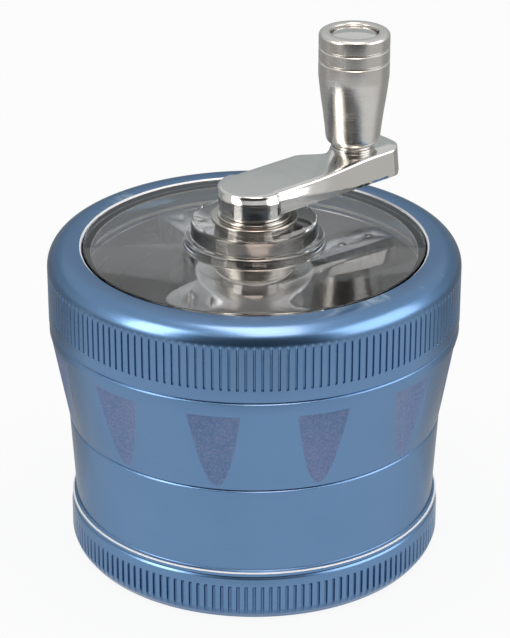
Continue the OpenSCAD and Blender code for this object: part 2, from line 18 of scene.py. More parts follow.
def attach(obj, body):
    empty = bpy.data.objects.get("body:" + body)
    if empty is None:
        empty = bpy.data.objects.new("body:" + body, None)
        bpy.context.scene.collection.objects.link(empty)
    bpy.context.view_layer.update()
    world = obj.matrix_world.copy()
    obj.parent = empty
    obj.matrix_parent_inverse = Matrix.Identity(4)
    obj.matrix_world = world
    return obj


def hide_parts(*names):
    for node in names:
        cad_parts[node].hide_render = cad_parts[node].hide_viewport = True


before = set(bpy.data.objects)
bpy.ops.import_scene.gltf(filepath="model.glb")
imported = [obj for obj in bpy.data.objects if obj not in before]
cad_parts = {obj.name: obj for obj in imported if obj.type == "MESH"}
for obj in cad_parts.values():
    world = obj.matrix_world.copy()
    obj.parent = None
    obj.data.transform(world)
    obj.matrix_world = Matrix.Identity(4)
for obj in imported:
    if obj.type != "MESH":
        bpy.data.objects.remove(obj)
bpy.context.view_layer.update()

MM = 0.001
LOG = logging.getLogger("grinder")

Point = tuple[float, float]
Spot = tuple[float, float, float]
Corner = tuple[float, float, float]
Colour = tuple[float, float, float]
Relief = Callable[[float, float, float], float]

# Places and sizes that several pieces share, in millimetres.
KNOB_AXIS: Point = (15.3206, 13.3180)
ROW_RADIUS = 11.0
ROW_PITCH = 5.0
ROW_COUNT = 3
THREAD_PITCH = 1.5
THREAD_DEPTH = 0.32
KNURLED_WALL = 1.2
TINY = 1e-6


class Body(Enum):
    """Bodies of the assembly that pieces ride on."""

    BASE = "base"
    STORAGE = "storage"
    CHAMBER = "chamber"
    SLIP_RING = "slip_ring"
    LID = "lid"
    CRANK = "crank"
    KNOB = "knob"


class Slot(Enum):
    """Finish slots of the assembly."""

    BLUE = "blue_anodised_aluminium"
    BARE = "bare_aluminium"
    CLEAR = "clear_acrylic"
    SCREEN = "stainless_mesh"
    STEEL = "stainless_steel"
    NICKEL = "polished_nickel"
    MAGNET = "magnet_nickel"
    RUBBER = "black_rubber"
    NYLON = "white_nylon"


# ---------------------------------------------------------------- node helpers


class NodeMaker:
    """Adds nodes to a shader or geometry tree and feeds their sockets."""

    def __init__(self, tree: bpy.types.NodeTree) -> None:
        """Keeps the tree that nodes are added to."""
        self.tree = tree

    def add(self, kind: str, values: dict[Any, Any] | None = None, **settings: Any) -> bpy.types.Node:
        """Adds a node.

        Args:
            kind: Blender's name of the node type.
            values: Values or sockets for the node's inputs, by name or index.
            settings: Properties of the node.

        Returns:
            The new node.
        """
        node = self.tree.nodes.new(kind)
        for key, value in settings.items():
            setattr(node, key, value)
        for key, value in (values or {}).items():
            self.feed(node.inputs[key], value)
        return node

    def feed(self, socket: bpy.types.NodeSocket, value: Any) -> None:
        """Links a socket or a node's first output to an input, or sets its value."""
        if isinstance(value, bpy.types.Node):
            value = value.outputs[0]
        if isinstance(value, bpy.types.NodeSocket):
            self.tree.links.new(value, socket)
        elif isinstance(value, tuple) and len(value) == 3 and socket.type == "RGBA":
            socket.default_value = (*value, 1.0)
        else:
            socket.default_value = value

    def math(self, operation: str, a: Any, b: Any = 0.0, clamp: bool = False) -> bpy.types.NodeSocket:
        """Returns the result of a Math node."""
        node = self.add("ShaderNodeMath", {0: a, 1: b}, operation=operation, use_clamp=clamp)
        return node.outputs[0]

    def radius(self, x: Any, y: Any) -> bpy.types.NodeSocket:
        """Returns the distance of a place from the vertical axis."""
        return self.math("SQRT", self.math("ADD", self.math("POWER", x, 2.0), self.math("POWER", y, 2.0)))

    def split(self, vector: Any) -> Any:
        """Returns the three parts of a vector."""
        return self.add("ShaderNodeSeparateXYZ", {0: vector}).outputs

    def vector(self, parts: dict[int, Any]) -> bpy.types.Node:
        """Adds a vector made of the parts given by index; the others are 0."""
        return self.add("ShaderNodeCombineXYZ", parts)

    def place(self) -> bpy.types.NodeSocket:
        """Returns the shaded place on the object's own axes."""
        return self.add("ShaderNodeTexCoord").outputs["Object"]

    def mix(self, factor: Any, a: Any, b: Any) -> bpy.types.NodeSocket:
        """Returns a blend of two colours."""
        node = self.tree.nodes.new("ShaderNodeMix")
        node.data_type = "RGBA"
        for index, value in ((0, factor), (6, a), (7, b)):
            self.feed(node.inputs[index], value)
        return node.outputs[2]

    def ramp(self, value: Any, low: Any, high: Any, to_low: float = 0.0, to_high: float = 1.0) -> Any:
        """Returns a value taken linearly from one range to another, held at its ends."""
        node = self.add("ShaderNodeMapRange", {0: value, 1: low, 2: high, 3: to_low, 4: to_high})
        return node.outputs[0]


def group_tree(name: str, kind: str, inputs: Sequence[tuple[str, str, Any]],
               outputs: Sequence[tuple[str, str]]) -> tuple[bpy.types.NodeTree, NodeMaker, Any, Any]:
    """Starts a node group with named sockets.

    Args:
        name: Name of the group.
        kind: Blender's name of the tree type.
        inputs: Name, socket type and default of each input.
        outputs: Name and socket type of each output.

    Returns:
        The tree, its node maker, its input node and its output node.
    """
    tree = bpy.data.node_groups.new(name, kind)
    for label, socket_type, default in inputs:
        socket = tree.interface.new_socket(label, in_out="INPUT", socket_type=socket_type)
        if default is not None:
            socket.default_value = default
    for label, socket_type in outputs:
        tree.interface.new_socket(label, in_out="OUTPUT", socket_type=socket_type)
    return tree, NodeMaker(tree), tree.nodes.new("NodeGroupInput"), tree.nodes.new("NodeGroupOutput")


# ---------------------------------------------------------------- shader groups

FLOAT = "NodeSocketFloat"
VECTOR = "NodeSocketVector"


class Effects:
    """Shader groups that several finishes share, each built once."""

    def __init__(self) -> None:
        """Builds the groups."""
        self.turning = self._turning()
        self.wear = self._wear()
        self.grain = self._grain()
        self.cloud = self._cloud()

    def _turning(self) -> bpy.types.NodeTree:
        """Builds fine lathe lines around a vertical axis, on walls and faces alike."""
        tree, make, source, sink = group_tree(
            "Turning lines", "ShaderNodeTree",
            [("Centre", VECTOR, (0.0, 0.0, 0.0)), ("Spacing", FLOAT, 0.0002), ("Wander", FLOAT, 0.15)],
            [("Height", FLOAT), ("Tone", FLOAT)])
        local = make.add("ShaderNodeVectorMath", {0: make.place(), 1: source.outputs["Centre"]},
                         operation="SUBTRACT").outputs[0]
        x, y, z = make.split(local)
        sway = make.math("MULTIPLY", make.math("ARCTAN2", y, x), source.outputs["Wander"])
        radial = make.math("DIVIDE", make.radius(x, y), source.outputs["Spacing"])
        upright = make.math("DIVIDE", z, source.outputs["Spacing"])
        vector = make.vector({0: radial, 1: upright, 2: sway})
        fine = make.add("ShaderNodeTexNoise",
                        {"Vector": vector, "Scale": 1.0, "Detail": 2.0, "Roughness": 0.6})
        slow = make.add("ShaderNodeTexNoise", {"Vector": vector, "Scale": 0.11, "Detail": 1.0})
        make.feed(sink.inputs["Height"], fine.outputs["Fac"])
        make.feed(sink.inputs["Tone"], slow.outputs["Fac"])
        return tree

    def _wear(self) -> bpy.types.NodeTree:
        """Builds a mask of rubbed convex edges."""
        tree, make, source, sink = group_tree(
            "Edge wear", "ShaderNodeTree",
            [("Start", FLOAT, 0.53), ("Full", FLOAT, 0.62), ("Patch Size", FLOAT, 900.0)],
            [("Mask", FLOAT)])
        point = make.add("ShaderNodeNewGeometry").outputs["Pointiness"]
        edge = make.ramp(point, source.outputs["Start"], source.outputs["Full"])
        patch = make.add("ShaderNodeTexNoise",
                         {"Vector": make.place(), "Scale": source.outputs["Patch Size"], "Detail": 3.0})
        patchy = make.ramp(patch.outputs["Fac"], 0.35, 0.62, 0.15, 1.0)
        make.feed(sink.inputs["Mask"], make.math("MULTIPLY", edge, patchy, clamp=True))
        return tree

    def _grain(self) -> bpy.types.NodeTree:
        """Builds a blasted grain, and a mask of scattered facets that finishes paint lighter as glints."""
        tree, make, source, sink = group_tree(
            "Blasted grain", "ShaderNodeTree",
            [("Grain Scale", FLOAT, 6000.0), ("Facet Scale", FLOAT, 5000.0), ("Facet Share", FLOAT, 0.1)],
            [("Height", FLOAT), ("Glint Facets", FLOAT)])
        place = make.place()
        noise = make.add("ShaderNodeTexNoise",
                         {"Vector": place, "Scale": source.outputs["Grain Scale"], "Detail": 3.0})
        cells = make.add("ShaderNodeTexVoronoi", {"Vector": place, "Scale": source.outputs["Facet Scale"]})
        draw = make.add("ShaderNodeSeparateColor", {0: cells.outputs["Color"]}).outputs[0]
        glint_facets = make.math("LESS_THAN", draw, source.outputs["Facet Share"])
        make.feed(sink.inputs["Height"], noise.outputs["Fac"])
        make.feed(sink.inputs["Glint Facets"], glint_facets)
        return tree

    def _cloud(self) -> bpy.types.NodeTree:
        """Builds a slow variation of tone and a smudge mask."""
        tree, make, source, sink = group_tree(
            "Cloud", "ShaderNodeTree", [("Scale", FLOAT, 90.0)], [("Tone", FLOAT), ("Smudge", FLOAT)])
        place = make.place()
        tone = make.add("ShaderNodeTexNoise", {"Vector": place, "Scale": source.outputs["Scale"],
                                               "Detail": 2.0})
        size = make.math("MULTIPLY", source.outputs["Scale"], 3.7)
        smudge = make.add("ShaderNodeTexNoise",
                          {"Vector": place, "Scale": size, "Detail": 4.0, "Distortion": 0.6})
        make.feed(sink.inputs["Tone"], tone.outputs["Fac"])
        make.feed(sink.inputs["Smudge"], make.ramp(smudge.outputs["Fac"], 0.48, 0.7))
        return tree


# --------------------------------------------------------------------- finishes


def empty_material(name: str) -> tuple[bpy.types.Material, NodeMaker]:
    """Starts a material without nodes and returns it with its node maker."""
    material = bpy.data.materials.new(name)
    material.use_nodes = True
    material.node_tree.nodes.clear()
    return material, NodeMaker(material.node_tree)


def start_material(name: str) -> tuple[bpy.types.Material, NodeMaker, bpy.types.Node]:
    """Starts a material with one Principled shader.

    Args:
        name: Name of the material.

    Returns:
        The material, its node maker and its shader.
    """
    material, make = empty_material(name)
    shader = make.add("ShaderNodeBsdfPrincipled")
    make.add("ShaderNodeOutputMaterial", {"Surface": shader})
    return material, make, shader


def use_group(make: NodeMaker, tree: bpy.types.NodeTree, values: dict[str, Any]) -> bpy.types.Node:
    """Places a shader group in a material with its own values."""
    node = make.tree.nodes.new("ShaderNodeGroup")
    node.node_tree = tree
    for key, value in values.items():
        make.feed(node.inputs[key], value)
    return node


def bump(make: NodeMaker, height: Any, strength: float, distance: float) -> bpy.types.NodeSocket:
    """Returns the normal of a Bump node; distance is in millimetres."""
    node = make.add("ShaderNodeBump", {"Strength": strength, "Distance": distance * MM, "Height": height})
    return node.outputs[0]


@dataclass(frozen=True)
class MetalFinish:
    """Metal with lathe lines, blasted grain, slow tone changes, rubbed edges and, on blasted finishes, facets
    painted lighter as glints.
    The edge colour serves the rubbed edges and these painted glints.

    Colours are linear. Spacing and centre are in millimetres, and grazing is the
    share of light that a flat view along the surface keeps.
    """

    name: str
    colour: Colour
    second: Colour
    edge: Colour
    roughness: float
    spread: float = 0.05
    lines: float = 0.2
    spacing: float = 0.16
    grain: float = 0.1
    glint_facets: float = 0.0
    anisotropy: float = 0.0
    coat: float = 0.0
    coat_roughness: float = 0.15
    coat_ior: float = 1.8
    grazing: float = 1.0
    wear_start: float = 0.53
    wear_full: float = 0.62
    centre: Point = (0.0, 0.0)
    cloud_scale: float = 90.0
    metal: float = 1.0

    def build(self, effects: Effects) -> bpy.types.Material:
        """Builds the material.

        Args:
            effects: Shared shader groups.

        Returns:
            The material.
        """
        material, make, shader = start_material(self.name)
        centre = (self.centre[0] * MM, self.centre[1] * MM, 0.0)
        turning = use_group(make, effects.turning, {"Centre": centre, "Spacing": self.spacing * MM})
        grain = use_group(make, effects.grain, {"Facet Share": max(self.glint_facets, 0.001)})
        cloud = use_group(make, effects.cloud, {"Scale": self.cloud_scale})
        wear = use_group(make, effects.wear, {"Start": self.wear_start, "Full": self.wear_full})
        tone = make.ramp(cloud.outputs["Tone"], 0.3, 0.7)
        body = make.mix(tone, self.colour, self.second)
        line_tone = make.ramp(turning.outputs["Tone"], 0.3, 0.7, 0.0, 0.1 * min(1.0, self.lines * 4))
        body = make.mix(line_tone, body, self.edge)
        # A share of facets is mixed towards the lighter edge colour: painted glints.
        painted_glint = make.math("MULTIPLY", grain.outputs["Glint Facets"], 0.55 if self.glint_facets > 0 else 0.0)
        body = make.mix(painted_glint, body, self.edge)
        make.feed(shader.inputs["Base Color"], make.mix(wear.outputs["Mask"], body, self.edge))
        rough = make.ramp(turning.outputs["Height"], 0.3, 0.7, self.roughness - self.spread,
                          self.roughness + self.spread)
        smudge = make.math("MULTIPLY", cloud.outputs["Smudge"], self.spread * 0.8)
        make.feed(shader.inputs["Roughness"], make.math("ADD", rough, smudge, clamp=True))
        shader.inputs["Metallic"].default_value = self.metal
        shader.inputs["Anisotropic"].default_value = self.anisotropy
        shader.inputs["Coat Weight"].default_value = self.coat
        shader.inputs["Coat Roughness"].default_value = self.coat_roughness
        shader.inputs["Coat IOR"].default_value = self.coat_ior
        shader.inputs["Specular Tint"].default_value = (self.grazing, self.grazing, self.grazing, 1.0)
        fine = make.math("MULTIPLY", turning.outputs["Height"], self.lines)
        rough_grain = make.math("MULTIPLY", grain.outputs["Height"], self.grain)
        relief = make.math("ADD", fine, rough_grain)
        make.feed(shader.inputs["Normal"], bump(make, relief, 0.5, 0.02))
        return material


@dataclass(frozen=True)
class ClearFinish:
    """Clear acrylic with faint turned rings on its boss and fine handling marks."""

    name: str = "clear acrylic"
    tint: Colour = (0.985, 0.992, 0.995)
    second: Colour = (0.97, 0.98, 0.985)
    ior: float = 1.49
    ring_spacing: float = 0.62

    def build(self, effects: Effects) -> bpy.types.Material:
        """Builds the material.

        Args:
            effects: Shared shader groups.

        Returns:
            The material.
        """
        material, make, shader = start_material(self.name)
        cloud = use_group(make, effects.cloud, {"Scale": 160.0})
        turning = use_group(make, effects.turning, {"Spacing": self.ring_spacing * MM, "Wander": 0.0})
        make.feed(shader.inputs["Base Color"], make.mix(cloud.outputs["Tone"], self.tint, self.second))
        make.feed(shader.inputs["Roughness"], make.ramp(cloud.outputs["Smudge"], 0.0, 1.0, 0.004, 0.03))
        shader.inputs["Metallic"].default_value = 0.0
        shader.inputs["Transmission Weight"].default_value = 1.0
        shader.inputs["IOR"].default_value = self.ior
        make.feed(shader.inputs["Normal"], bump(make, turning.outputs["Height"], 0.05, 0.01))
        return material


@dataclass(frozen=True)
class PlasticFinish:
    """Rubber or nylon with a fine moulded grain and a slow change of tone."""

    name: str
    colour: Colour
    second: Colour
    roughness: float
    grain: float = 0.4

    def build(self, effects: Effects) -> bpy.types.Material:
        """Builds the material.

        Args:
            effects: Shared shader groups.

        Returns:
            The material.
        """
        material, make, shader = start_material(self.name)
        grain = use_group(make, effects.grain, {"Grain Scale": 3500.0})
        cloud = use_group(make, effects.cloud, {"Scale": 220.0})
        tone = make.ramp(cloud.outputs["Tone"], 0.3, 0.7)
        make.feed(shader.inputs["Base Color"], make.mix(tone, self.colour, self.second))
        rough = make.ramp(grain.outputs["Height"], 0.2, 0.8, self.roughness - 0.08, self.roughness + 0.08)
        make.feed(shader.inputs["Roughness"], rough)
        make.feed(shader.inputs["Normal"], bump(make, grain.outputs["Height"], self.grain, 0.03))
        return material


BLUE_METAL = MetalFinish(
    "blue anodised aluminium", (0.092, 0.200, 0.372), (0.100, 0.212, 0.390), (0.30, 0.42, 0.58),
    roughness=0.29, spread=0.02, lines=0.02, spacing=0.14, grain=0.06, coat=0.45, grazing=0.40,
    wear_start=0.56, wear_full=0.7)
LID_GROOVE_METAL = MetalFinish(
    "blue lid groove", (0.092, 0.200, 0.375), (0.10, 0.212, 0.39), (0.12, 0.2, 0.32),
    roughness=0.40, lines=0.02, spacing=0.14, coat=0.3)
# Darker blue for the base knurl's groove faces: painted shade in the grooves.
BASE_GROOVE_SHADE_METAL = MetalFinish(
    "blue base groove painted shade", (0.070, 0.158, 0.310), (0.078, 0.17, 0.325), (0.12, 0.2, 0.32),
    roughness=0.40, lines=0.02, spacing=0.14, coat=0.3)
# The scoops' lighter specks on a share of facets are painted glints; the grain and the tone changes are the
# finish's own.
FROSTED_METAL = MetalFinish(
    "frosted anodised scoop", (0.096, 0.170, 0.312), (0.128, 0.178, 0.328), (0.19, 0.225, 0.37),
    roughness=0.50, spread=0.07, lines=0.02, spacing=0.3, grain=0.7, glint_facets=0.4, coat=0.15)
BARE_METAL = MetalFinish(
    "bare aluminium", (0.50, 0.505, 0.51), (0.56, 0.562, 0.565), (0.75, 0.75, 0.75),
    roughness=0.34, spread=0.08, lines=0.6, spacing=0.22, grain=0.2)
# Near-white, barely metallic finish. On the lid's cut window bevel it is bare metal and a painted highlight
# line at once; on the storage ring's bevel it is only a painted highlight.
RIM_AND_HIGHLIGHT_METAL = MetalFinish(
    "cut rim with painted highlight", (0.90, 0.91, 0.91), (0.93, 0.93, 0.93), (0.96, 0.96, 0.96),
    roughness=0.55, lines=0.02, spacing=0.1, metal=0.25)
NICKEL_METAL = MetalFinish(
    "polished nickel", (0.58, 0.578, 0.56), (0.61, 0.605, 0.585), (0.80, 0.80, 0.78),
    roughness=0.10, spread=0.02, lines=0.0, spacing=0.3, grain=0.03, wear_start=0.56, wear_full=0.7,
    cloud_scale=140.0)
STEEL_METAL = MetalFinish(
    "turned stainless steel", (0.54, 0.525, 0.50), (0.58, 0.565, 0.54), (0.72, 0.71, 0.69),
    roughness=0.18, spread=0.04, lines=0.08, spacing=0.12, grain=0.04)
BEARING_METAL = MetalFinish(
    "turned bearing steel", (0.40, 0.375, 0.34), (0.44, 0.415, 0.375), (0.60, 0.58, 0.55),
    roughness=0.20, spread=0.04, lines=0.08, spacing=0.12, grain=0.04)
KNOB_METAL = MetalFinish(
    "brushed knob steel", (0.53, 0.515, 0.49), (0.57, 0.555, 0.53), (0.80, 0.78, 0.75),
    roughness=0.24, spread=0.04, lines=0.12, spacing=0.09, grain=0.02, anisotropy=0.5,
    wear_start=0.55, wear_full=0.66, centre=KNOB_AXIS)
MAGNET_METAL = MetalFinish(
    "magnet nickel plate", (0.68, 0.68, 0.66), (0.72, 0.72, 0.70), (0.85, 0.85, 0.84),
    roughness=0.14, spread=0.03, lines=0.05, spacing=0.3)
WIRE_METAL = MetalFinish(
    "stainless wire", (0.55, 0.55, 0.54), (0.62, 0.62, 0.61), (0.8, 0.8, 0.8),
    roughness=0.24, lines=0.0, spacing=0.2, grain=0.2, cloud_scale=400.0)
GREY_SILICONE = PlasticFinish("grey silicone", (0.20, 0.205, 0.20), (0.24, 0.245, 0.24), 0.5, 0.2)
BLACK_RUBBER = PlasticFinish("black rubber", (0.018, 0.018, 0.019), (0.028, 0.028, 0.03), 0.6)
WHITE_NYLON = PlasticFinish("white nylon", (0.74, 0.74, 0.71), (0.8, 0.8, 0.78), 0.42, 0.2)


class Finishes:
    """All materials of the grinder, built once."""

    def __init__(self) -> None:
        """Builds the shared groups and every material."""
        effects = Effects()
        self.blue = BLUE_METAL.build(effects)
        self.lid_groove = LID_GROOVE_METAL.build(effects)
        self.base_groove_shade = BASE_GROOVE_SHADE_METAL.build(effects)
        self.frosted = FROSTED_METAL.build(effects)
        self.bare = BARE_METAL.build(effects)
        # Near-white finish of the bright bevels: painted highlight.
        self.rim = RIM_AND_HIGHLIGHT_METAL.build(effects)
        self.nickel = NICKEL_METAL.build(effects)
        self.steel = STEEL_METAL.build(effects)
        self.bearing = BEARING_METAL.build(effects)
        self.knob = KNOB_METAL.build(effects)
        self.magnet = MAGNET_METAL.build(effects)
        self.wire = WIRE_METAL.build(effects)
        self.rubber = BLACK_RUBBER.build(effects)
        self.silicone = GREY_SILICONE.build(effects)
        self.nylon = WHITE_NYLON.build(effects)
        self.clear = ClearFinish().build(effects)


# -------------------------------------------------------------- profile helpers


def arc(cr: float, cz: float, radius: float, start: float, end: float, steps: int = 8) -> list[Point]:
    """Returns points on a circular arc of a profile; angles are in degrees."""
    angles = [math.radians(start + (end - start) * i / steps) for i in range(steps + 1)]
    return [(cr + radius * math.cos(a), cz + radius * math.sin(a)) for a in angles]


def ring_section(bore: float, rim: float, low: float, high: float, inner: float,
                 outer: float | None = None) -> list[Point]:
    """Returns the profile of a flat ring.

    Args:
        bore: Its inner radius.
        rim: Its outer radius.
        low: Height of its foot.
        high: Height of its top.
        inner: Rounding of the bore's edges.
        outer: Rounding of the rim's edges, or None for the same.

    Returns:
        The profile's points.
    """
    edge = inner if outer is None else outer
    return rounded([(bore, low, inner), (rim, low, edge), (rim, high, edge), (bore, high, inner)])


def rounded(corners: Sequence[Corner], steps: int = 4) -> list[Point]:
    """Rounds the corners of a closed profile.

    Args:
        corners: Radius, height and corner radius of each corner.
        steps: Facets in each rounded corner.

    Returns:
        The profile's points; corners on the axis stay sharp.
    """
    points: list[Point] = []
    for i, (r, z, radius) in enumerate(corners):
        here = Vector((r, z))
        back = Vector(corners[i - 1][:2]) - here
        ahead = Vector(corners[(i + 1) % len(corners)][:2]) - here
        half = back.angle(ahead) / 2 if radius > 0 and r > TINY else math.pi / 2
        if half > math.radians(89.3):
            points.append((r, z))
            continue
        reach = min(radius / math.tan(half), 0.48 * back.length, 0.48 * ahead.length)
        size = reach * math.tan(half)
        centre = here + (back.normalized() + ahead.normalized()).normalized() * (size / math.sin(half))
        first = here + back.normalized() * reach - centre
        last = here + ahead.normalized() * reach - centre
        start = math.atan2(first.y, first.x)
        sweep = (math.atan2(last.y, last.x) - start + math.pi) % math.tau - math.pi
        for k in range(steps + 1):
            a = start + sweep * k / steps
            points.append((centre.x + size * math.cos(a), centre.y + size * math.sin(a)))
    return points


def refined(profile: Sequence[Point], step: float, low: float, high: float) -> list[Point]:
    """Splits a closed profile's runs between two heights into short rows.

    Args:
        profile: The profile's points.
        step: Longest run that stays whole, in millimetres.
        low: Lowest height that is split.
        high: Highest height that is split.

    Returns:
        The profile with more points.
    """
    points: list[Point] = []
    for i, (r, z) in enumerate(profile):
        points.append((r, z))
        r2, z2 = profile[(i + 1) % len(profile)]
        inside = low - TINY <= min(z, z2) and max(z, z2) <= high + TINY and min(r, r2) > TINY
        pieces = math.ceil(math.hypot(r2 - r, z2 - z) / step) if inside and abs(z2 - z) > TINY else 1
        points += [(r + (r2 - r) * k / pieces, z + (z2 - z) * k / pieces) for k in range(1, pieces)]
    return points


def lathe(name: str, profile: Sequence[Point], segments: int = 256, columns: Sequence[float] | None = None,
          relief: Relief | None = None, centre: Point = (0.0, 0.0)) -> bpy.types.Mesh:
    """Turns a closed profile about a vertical axis.

    Args:
        name: Name of the mesh.
        profile: Radius and height of each point.
        segments: Facets in a full turn.
        columns: Angles of the columns of an open sector, or None for a full turn.
        relief: Depth that is taken off at an angle, radius and height.
        centre: Place of the axis.

    Returns:
        The mesh, in metres.
    """
    full = columns is None
    angles = columns if columns is not None else [math.tau * i / segments for i in range(segments)]
    verts: list[Spot] = []
    rows: list[list[int]] = []
    for r, z in profile:
        row: list[int] = []
        for a in angles:
            if r < TINY and row:
                row.append(row[0])
                continue
            reach = r - (relief(a, r, z) if relief and r > TINY else 0.0)
            row.append(len(verts))
            x, y = centre[0] + reach * math.cos(a), centre[1] + reach * math.sin(a)
            verts.append((x * MM, y * MM, z * MM))
        rows.append(row)
    faces: list[list[int]] = []
    for p in range(len(profile)):
        low, high = rows[p], rows[(p + 1) % len(profile)]
        for c in range(len(angles) if full else len(angles) - 1):
            d = (c + 1) % len(angles)
            face = list(dict.fromkeys((low[c], low[d], high[d], high[c])))
            if len(face) > 2:
                faces.append(face)
    return plain_mesh(name, verts, faces)


def plain_mesh(name: str, verts: Sequence[Spot], faces: Sequence[Sequence[int]]) -> bpy.types.Mesh:
    """Makes a mesh from its vertices, in metres, and its faces."""
    mesh = bpy.data.meshes.new(name)
    mesh.from_pydata(verts, [], faces)
    return mesh


def prism(name: str, outline: Sequence[Point], low: float, high: float,
          bevel: float = 0.12) -> bpy.types.Mesh:
    """Makes an upright prism with broken edges at its ends.

    Args:
        name: Name of the mesh.
        outline: Corners of its convex plan, counter-clockwise.
        low: Height of its foot.
        high: Height of its top.
        bevel: Size of the broken edges.

    Returns:
        The mesh, in metres.
    """
    middle = Vector((sum(x for x, _ in outline), sum(y for _, y in outline))) / len(outline)
    levels = [(low, bevel), (low + bevel, 0.0), (high - bevel, 0.0), (high, bevel)]
    verts: list[Spot] = []
    for z, inset in levels:
        for x, y in outline:
            arm = Vector((x, y)) - middle
            spot = middle + arm * (1 - inset / arm.length)
            verts.append((spot.x * MM, spot.y * MM, z * MM))
    n = len(outline)
    faces = [[k * n + i, k * n + (i + 1) % n, (k + 1) * n + (i + 1) % n, (k + 1) * n + i]
             for k in range(3) for i in range(n)]
    faces += [list(range(n))[::-1], list(range(3 * n, 4 * n))]
    return plain_mesh(name, verts, faces)


def diamond_tooth(r: float, low: float, high: float) -> bpy.types.Mesh:
    """Makes a diamond-shaped tooth that stands at a radius on the X axis."""
    width, length, bevel = 2.0, 3.2, 0.15
    outline = [(r + width / 2, 0.0), (r, length / 2), (r - width / 2, 0.0), (r, -length / 2)]
    return prism("diamond_tooth", outline, low, high, bevel)


def paint_band(mesh: bpy.types.Mesh, material: bpy.types.Material, low_r: float, high_r: float,
               low: float, high: float) -> None:
    """Gives a band of a turned piece a material of its own.

    Args:
        mesh: Mesh of the piece.
        material: The band's material.
        low_r: Smallest radius of the band's faces.
        high_r: Largest radius.
        low: Lowest height.
        high: Highest height.
    """
    mesh.materials.append(material)
    for face in mesh.polygons:
        r = math.hypot(face.center.x, face.center.y) / MM
        if low_r < r < high_r and low < face.center.z / MM < high:
            face.material_index = len(mesh.materials) - 1


def join_meshes(name: str, meshes: Sequence[bpy.types.Mesh]) -> bpy.types.Mesh:
    """Joins several meshes into a new one."""
    joined = bmesh.new()
    for mesh in meshes:
        joined.from_mesh(mesh)
    result = bpy.data.meshes.new(name)
    joined.to_mesh(result)
    joined.free()
    return result


def finish_mesh(mesh: bpy.types.Mesh, sharp: float = 32.0) -> None:
    """Closes a mesh, points its faces outwards and shades it with sharp edges above an angle."""
    work = bmesh.new()
    work.from_mesh(mesh)
    bmesh.ops.remove_doubles(work, verts=work.verts, dist=1e-7)
    bmesh.ops.dissolve_degenerate(work, edges=work.edges, dist=1e-8)
    bmesh.ops.recalc_face_normals(work, faces=work.faces)
    work.to_mesh(mesh)
    work.free()
    mesh.shade_smooth()
    mesh.set_sharp_from_angle(angle=math.radians(sharp))


def place(name: str, mesh: bpy.types.Mesh) -> bpy.types.Object:
    """Puts a mesh in the scene as an object at the origin."""
    obj = bpy.data.objects.new(name, mesh)
    bpy.context.scene.collection.objects.link(obj)
    return obj


def settle(obj: bpy.types.Object, body: Body, nodes: Sequence[str],
           materials: Sequence[bpy.types.Material] = (), sharp: float = 32.0) -> bpy.types.Object:
    """Finishes a piece and lets it ride on its body.

    Args:
        obj: The piece.
        body: Body that it moves with.
        nodes: CAD nodes that it stands for.
        materials: Its materials, or nothing if its mesh has them.
        sharp: Angle of the edges that stay sharp, in degrees.

    Returns:
        The piece.
    """
    finish_mesh(obj.data, sharp)
    if materials:
        obj.data.materials.clear()
        for material in materials:
            obj.data.materials.append(material)
    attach(obj, body.value)
    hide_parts(*nodes)
    LOG.info("%s: %d faces, rides on %s", obj.name, len(obj.data.polygons), body.value)
    return obj


def turned_piece(name: str, profile: Sequence[Point], segments: int, body: Body, node: str,
                 material: bpy.types.Material, centre: Point = (0.0, 0.0), sharp: float = 32.0) -> None:
    """Builds a plain turned piece of one material and lets it ride on its body.

    Args:
        name: Name of the piece.
        profile: Radius and height of each point of its closed profile.
        segments: Facets in a full turn.
        body: Body that it moves with.
        node: CAD node that it stands for.
        material: Its material.
        centre: Place of its axis.
        sharp: Angle of the edges that stay sharp, in degrees.
    """
    mesh = lathe(name, profile, segments, centre=centre)
    settle(place(name, mesh), body, [node], [material], sharp)


def bake(obj: bpy.types.Object) -> None:
    """Keeps what an object's modifiers make of it as its plain mesh."""
    obj.update_tag()
    bpy.context.view_layer.update()
    evaluated = obj.evaluated_get(bpy.context.evaluated_depsgraph_get())
    result = bpy.data.meshes.new_from_object(evaluated)
    obj.modifiers.clear()
    obj.data = result


# --------------------------------------------------------------- geometry trees

GEOMETRY = "NodeSocketGeometry"
INTEGER = "NodeSocketInt"
MATERIAL = "NodeSocketMaterial"


def geometry_tree(name: str, inputs: Sequence[tuple[str, str, Any]]) -> tuple[Any, NodeMaker, Any, Any]:
    """Starts a geometry tree with a geometry input and output besides its named inputs."""
    return group_tree(name, "GeometryNodeTree", [("Geometry", GEOMETRY, None), *inputs],
                      [("Geometry", GEOMETRY)])


def close_tree(make: NodeMaker, sink: bpy.types.Node, geometry: Any, material: Any,
               selection: Any = True) -> None:
    """Ends a tree in Realize Instances and Set Material."""
    real = make.add("GeometryNodeRealizeInstances", {"Geometry": geometry})
    done = make.add("GeometryNodeSetMaterial",
                    {"Geometry": real, "Material": material, "Selection": selection})
    make.feed(sink.inputs["Geometry"], done.outputs[0])


def run_tree(obj: bpy.types.Object, tree: bpy.types.NodeTree, values: dict[str, Any]) -> None:
    """Runs a geometry tree on an object and keeps its result as a plain mesh.

    Args:
        obj: The object, whose mesh is replaced.
        tree: The tree.
        values: Values of the tree's inputs, by name.
    """
    modifier = obj.modifiers.new("build", "NODES")
    modifier.node_group = tree
    for item in tree.interface.items_tree:
        if item.in_out == "INPUT" and item.name in values:
            modifier[item.identifier] = values[item.name]
    bake(obj)


